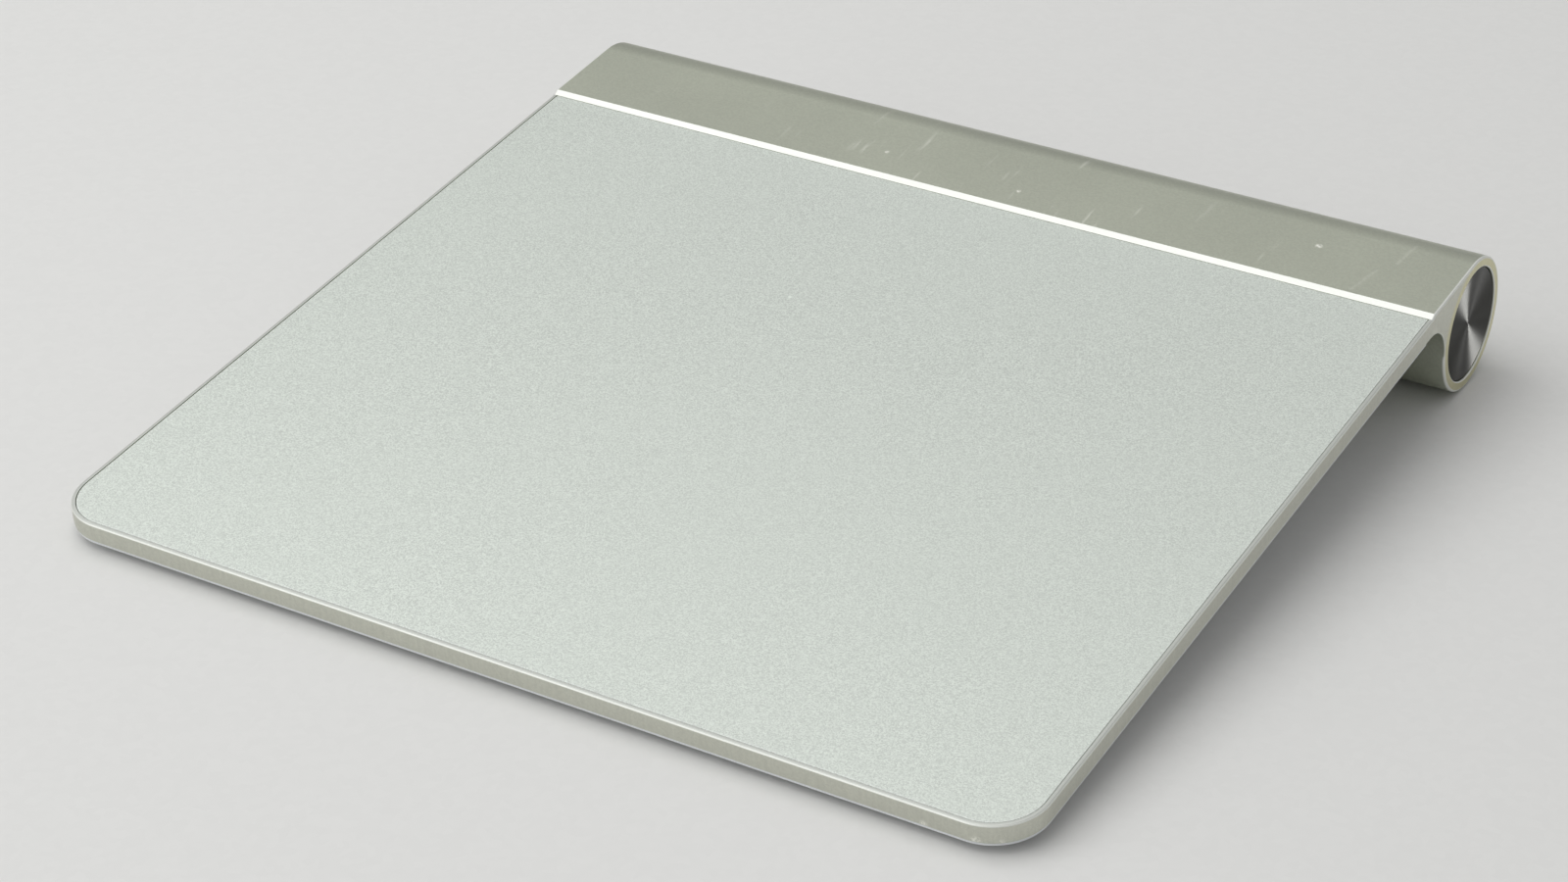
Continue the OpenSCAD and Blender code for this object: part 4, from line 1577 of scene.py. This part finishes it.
class InnerParts:
    """The CAD nodes that keep their own solids and get a finish by their material slot."""

    nub_l = 1.2 * MM

    def finishes(self) -> dict[str, Finish]:
        """The finish of each material slot."""
        cell_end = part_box("cell_right")[1].x
        cell_l = cell_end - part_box("cell_right")[0].x
        first_band = cell_end - CellJacket.band_l - self.nub_l
        band_starts = tuple(first_band - count * cell_l for count in range(2))
        return {
            "white_plastic": Finish("white_moulding", shade(233, 233, 230), 0.42, grain_tone=0.03),
            "black_plastic": Finish("black_moulding", shade(38, 38, 40), 0.48, grain_tone=0.12),
            "green_board": PrintedBoard("green_lacquer", shade(32, 96, 62), 0.35),
            "black_chip": Finish("chip_moulding", shade(30, 30, 33), 0.55, grain=6000.0, grain_tone=0.18),
            "amber_film": Finish("amber_flex", shade(186, 118, 44), 0.3, coat=0.4, grain_tone=0.06),
            "steel": Finish("plain_steel", shade(196, 198, 200), 0.28, metallic=1.0),
            "plated_brass": Finish("plated_contact", shade(214, 182, 104), 0.25, metallic=1.0),
            "cell_jacket": CellJacket("cell_film", shade(66, 70, 76), 0.32, metallic=0.6, coat=0.5,
                                      band_starts=band_starts),
            "grey_tape": Finish("grey_sticky_tape", shade(178, 181, 184), 0.6, grain_tone=0.08),
        }

    def dress(self, covered: set[str]) -> None:
        """Puts a finish on every node that no outer piece stands for.

        Args:
            covered: the nodes that outer pieces stand for.
        """
        finishes = self.finishes()
        for part in frame["record"]["subparts"]:
            if part["node"] in covered:
                continue
            node = frame["nodes"][part["node"]]
            material = finishes[part["material_slot"]].material()
            for holder in node.material_slots:
                holder.material = material
            LOG.info("%s keeps its solid, with %s", part["node"], material.name)


# Studio


@dataclass(frozen=True)
class Lamp:
    """A soft box: a rectangle of light that looks at the part.

    Its power is in watts. Where it names one piece, it lights only that one.
    """

    name: str
    place: Vector
    width: float
    length: float
    power: float
    only: str = ""

    def put_up(self) -> None:
        """Adds the lamp, turned to the part."""
        light = bpy.data.lights.new(self.name, "AREA")
        light.shape = "RECTANGLE"
        light.size = self.width
        light.size_y = self.length
        light.energy = self.power
        lamp = bpy.data.objects.new(self.name, light)
        lamp.location = self.place
        lamp.rotation_euler = (-self.place).to_track_quat("-Z", "Y").to_euler()
        lamp.visible_camera = False
        bpy.context.scene.collection.objects.link(lamp)
        if self.only:
            lit = bpy.data.collections.new(f"lit_by_{self.name}")
            lit.objects.link(bpy.data.objects[self.only])
            lamp.light_linking.receiver_collection = lit


@dataclass
class Studio:
    """Pale floor, soft light and the camera at the photograph's angle."""

    floor_w: float = 8.0
    floor_colour: Colour = shade(222, 222, 220)
    sky_colour: Colour = (0.52, 0.52, 0.52)
    horizon_colour: Colour = (0.25, 0.25, 0.25)
    sky_height: float = 0.8
    camera_place: Vector = Vector((206.34, -352.83, 230.83)) * MM
    camera_heading: float = math.radians(30.628)
    camera_pitch: float = math.radians(29.397)
    camera_roll: float = math.radians(0.303)
    lens_mm: float = 86.7257
    sensor_mm: float = 36.0
    nearest: float = 0.01

    def set_up(self) -> None:
        """Builds the whole studio."""
        scene = bpy.context.scene
        scene.view_settings.view_transform = "Standard"
        self.lay_floor()
        self.light_world()
        for lamp in (
            Lamp("overhead_box", Vector((-0.28, -0.08, 0.75)), width=0.9, length=0.9, power=3.5),
            Lamp("front_box", Vector((-0.75, -1.15, 0.65)), width=1.6, length=1.3, power=8.0),
            Lamp("button_box", Vector((1.44, 0.80, 0.25)), width=0.7, length=0.4, power=40.0,
                 only="power_button_disc"),
        ):
            lamp.put_up()
        self.add_camera()

    def lay_floor(self) -> None:
        """Adds the floor, which isn't part of the object."""
        bpy.ops.object.select_all(action="DESELECT")
        bpy.ops.mesh.primitive_plane_add(size=self.floor_w)
        floor = name_piece("studio_floor")
        paper = FloorPaper("floor_paper", self.floor_colour, 0.85, grain=900.0, grain_tone=0.012,
                           smear_rough=0.02)
        floor.data.materials.append(paper.material())

    def light_world(self) -> None:
        """Lights the part evenly from all round, a little more from above."""
        world = bpy.data.worlds.new("studio_light")
        bpy.context.scene.world = world
        world.use_nodes = True
        world.node_tree.nodes.clear()
        graph = Graph(world.node_tree)
        way = graph.node("ShaderNodeTexCoord").outputs["Generated"]
        height = graph.node("ShaderNodeSeparateXYZ", {0: way}).outputs["Z"]
        share = graph.spread(height, 0.0, self.sky_height)
        colour = graph.mix(share, self.horizon_colour, self.sky_colour)
        sky = graph.node("ShaderNodeBackground", {"Color": colour})
        graph.node("ShaderNodeOutputWorld", {"Surface": sky.outputs[0]})

    def add_camera(self) -> None:
        """Adds the camera that was fitted to the photograph's edges."""
        data = bpy.data.cameras.new("photo_camera")
        data.sensor_fit = "HORIZONTAL"
        data.sensor_width = self.sensor_mm
        data.lens = self.lens_mm
        data.clip_start = self.nearest
        camera = bpy.data.objects.new("photo_camera", data)
        turn = (Matrix.Rotation(self.camera_heading, 4, "Z")
                @ Matrix.Rotation(math.pi / 2 - self.camera_pitch, 4, "X")
                @ Matrix.Rotation(self.camera_roll, 4, "Z"))
        camera.matrix_world = Matrix.Translation(self.camera_place) @ turn
        bpy.context.scene.collection.objects.link(camera)
        bpy.context.scene.camera = camera


def main() -> None:
    """Builds the outer pieces, dresses the inner ones and sets the studio up."""
    logging.basicConfig(level=logging.INFO, format="%(message)s")
    plate = PlateFrame.from_joints()
    sizes = PlateSizes(plate.tilt)
    makers: list[OuterPiece] = [maker(plate, sizes) for maker in (
        BodyShell, TouchGlass, BottomCover, PowerButton, BatteryCap)]
    for side in Side:
        makers.append(FrontFoot(plate, sizes, node=f"front_foot_{side.word}", body=f"foot_{side.word}",
                                side=side))
        makers.append(RearFoot(plate, sizes, node=f"rear_foot_{side.word}", side=side))
        makers.append(SnapDome(plate, sizes, node=f"click_dome_{side.word}", side=side))
    for maker in makers:
        piece = maker.make()
        LOG.info("%s stands for %s, with %d faces", piece.name, maker.node, len(piece.data.polygons))
    InnerParts().dress({maker.node for maker in makers})
    Studio().set_up()


if __name__ == "__main__":
    main()
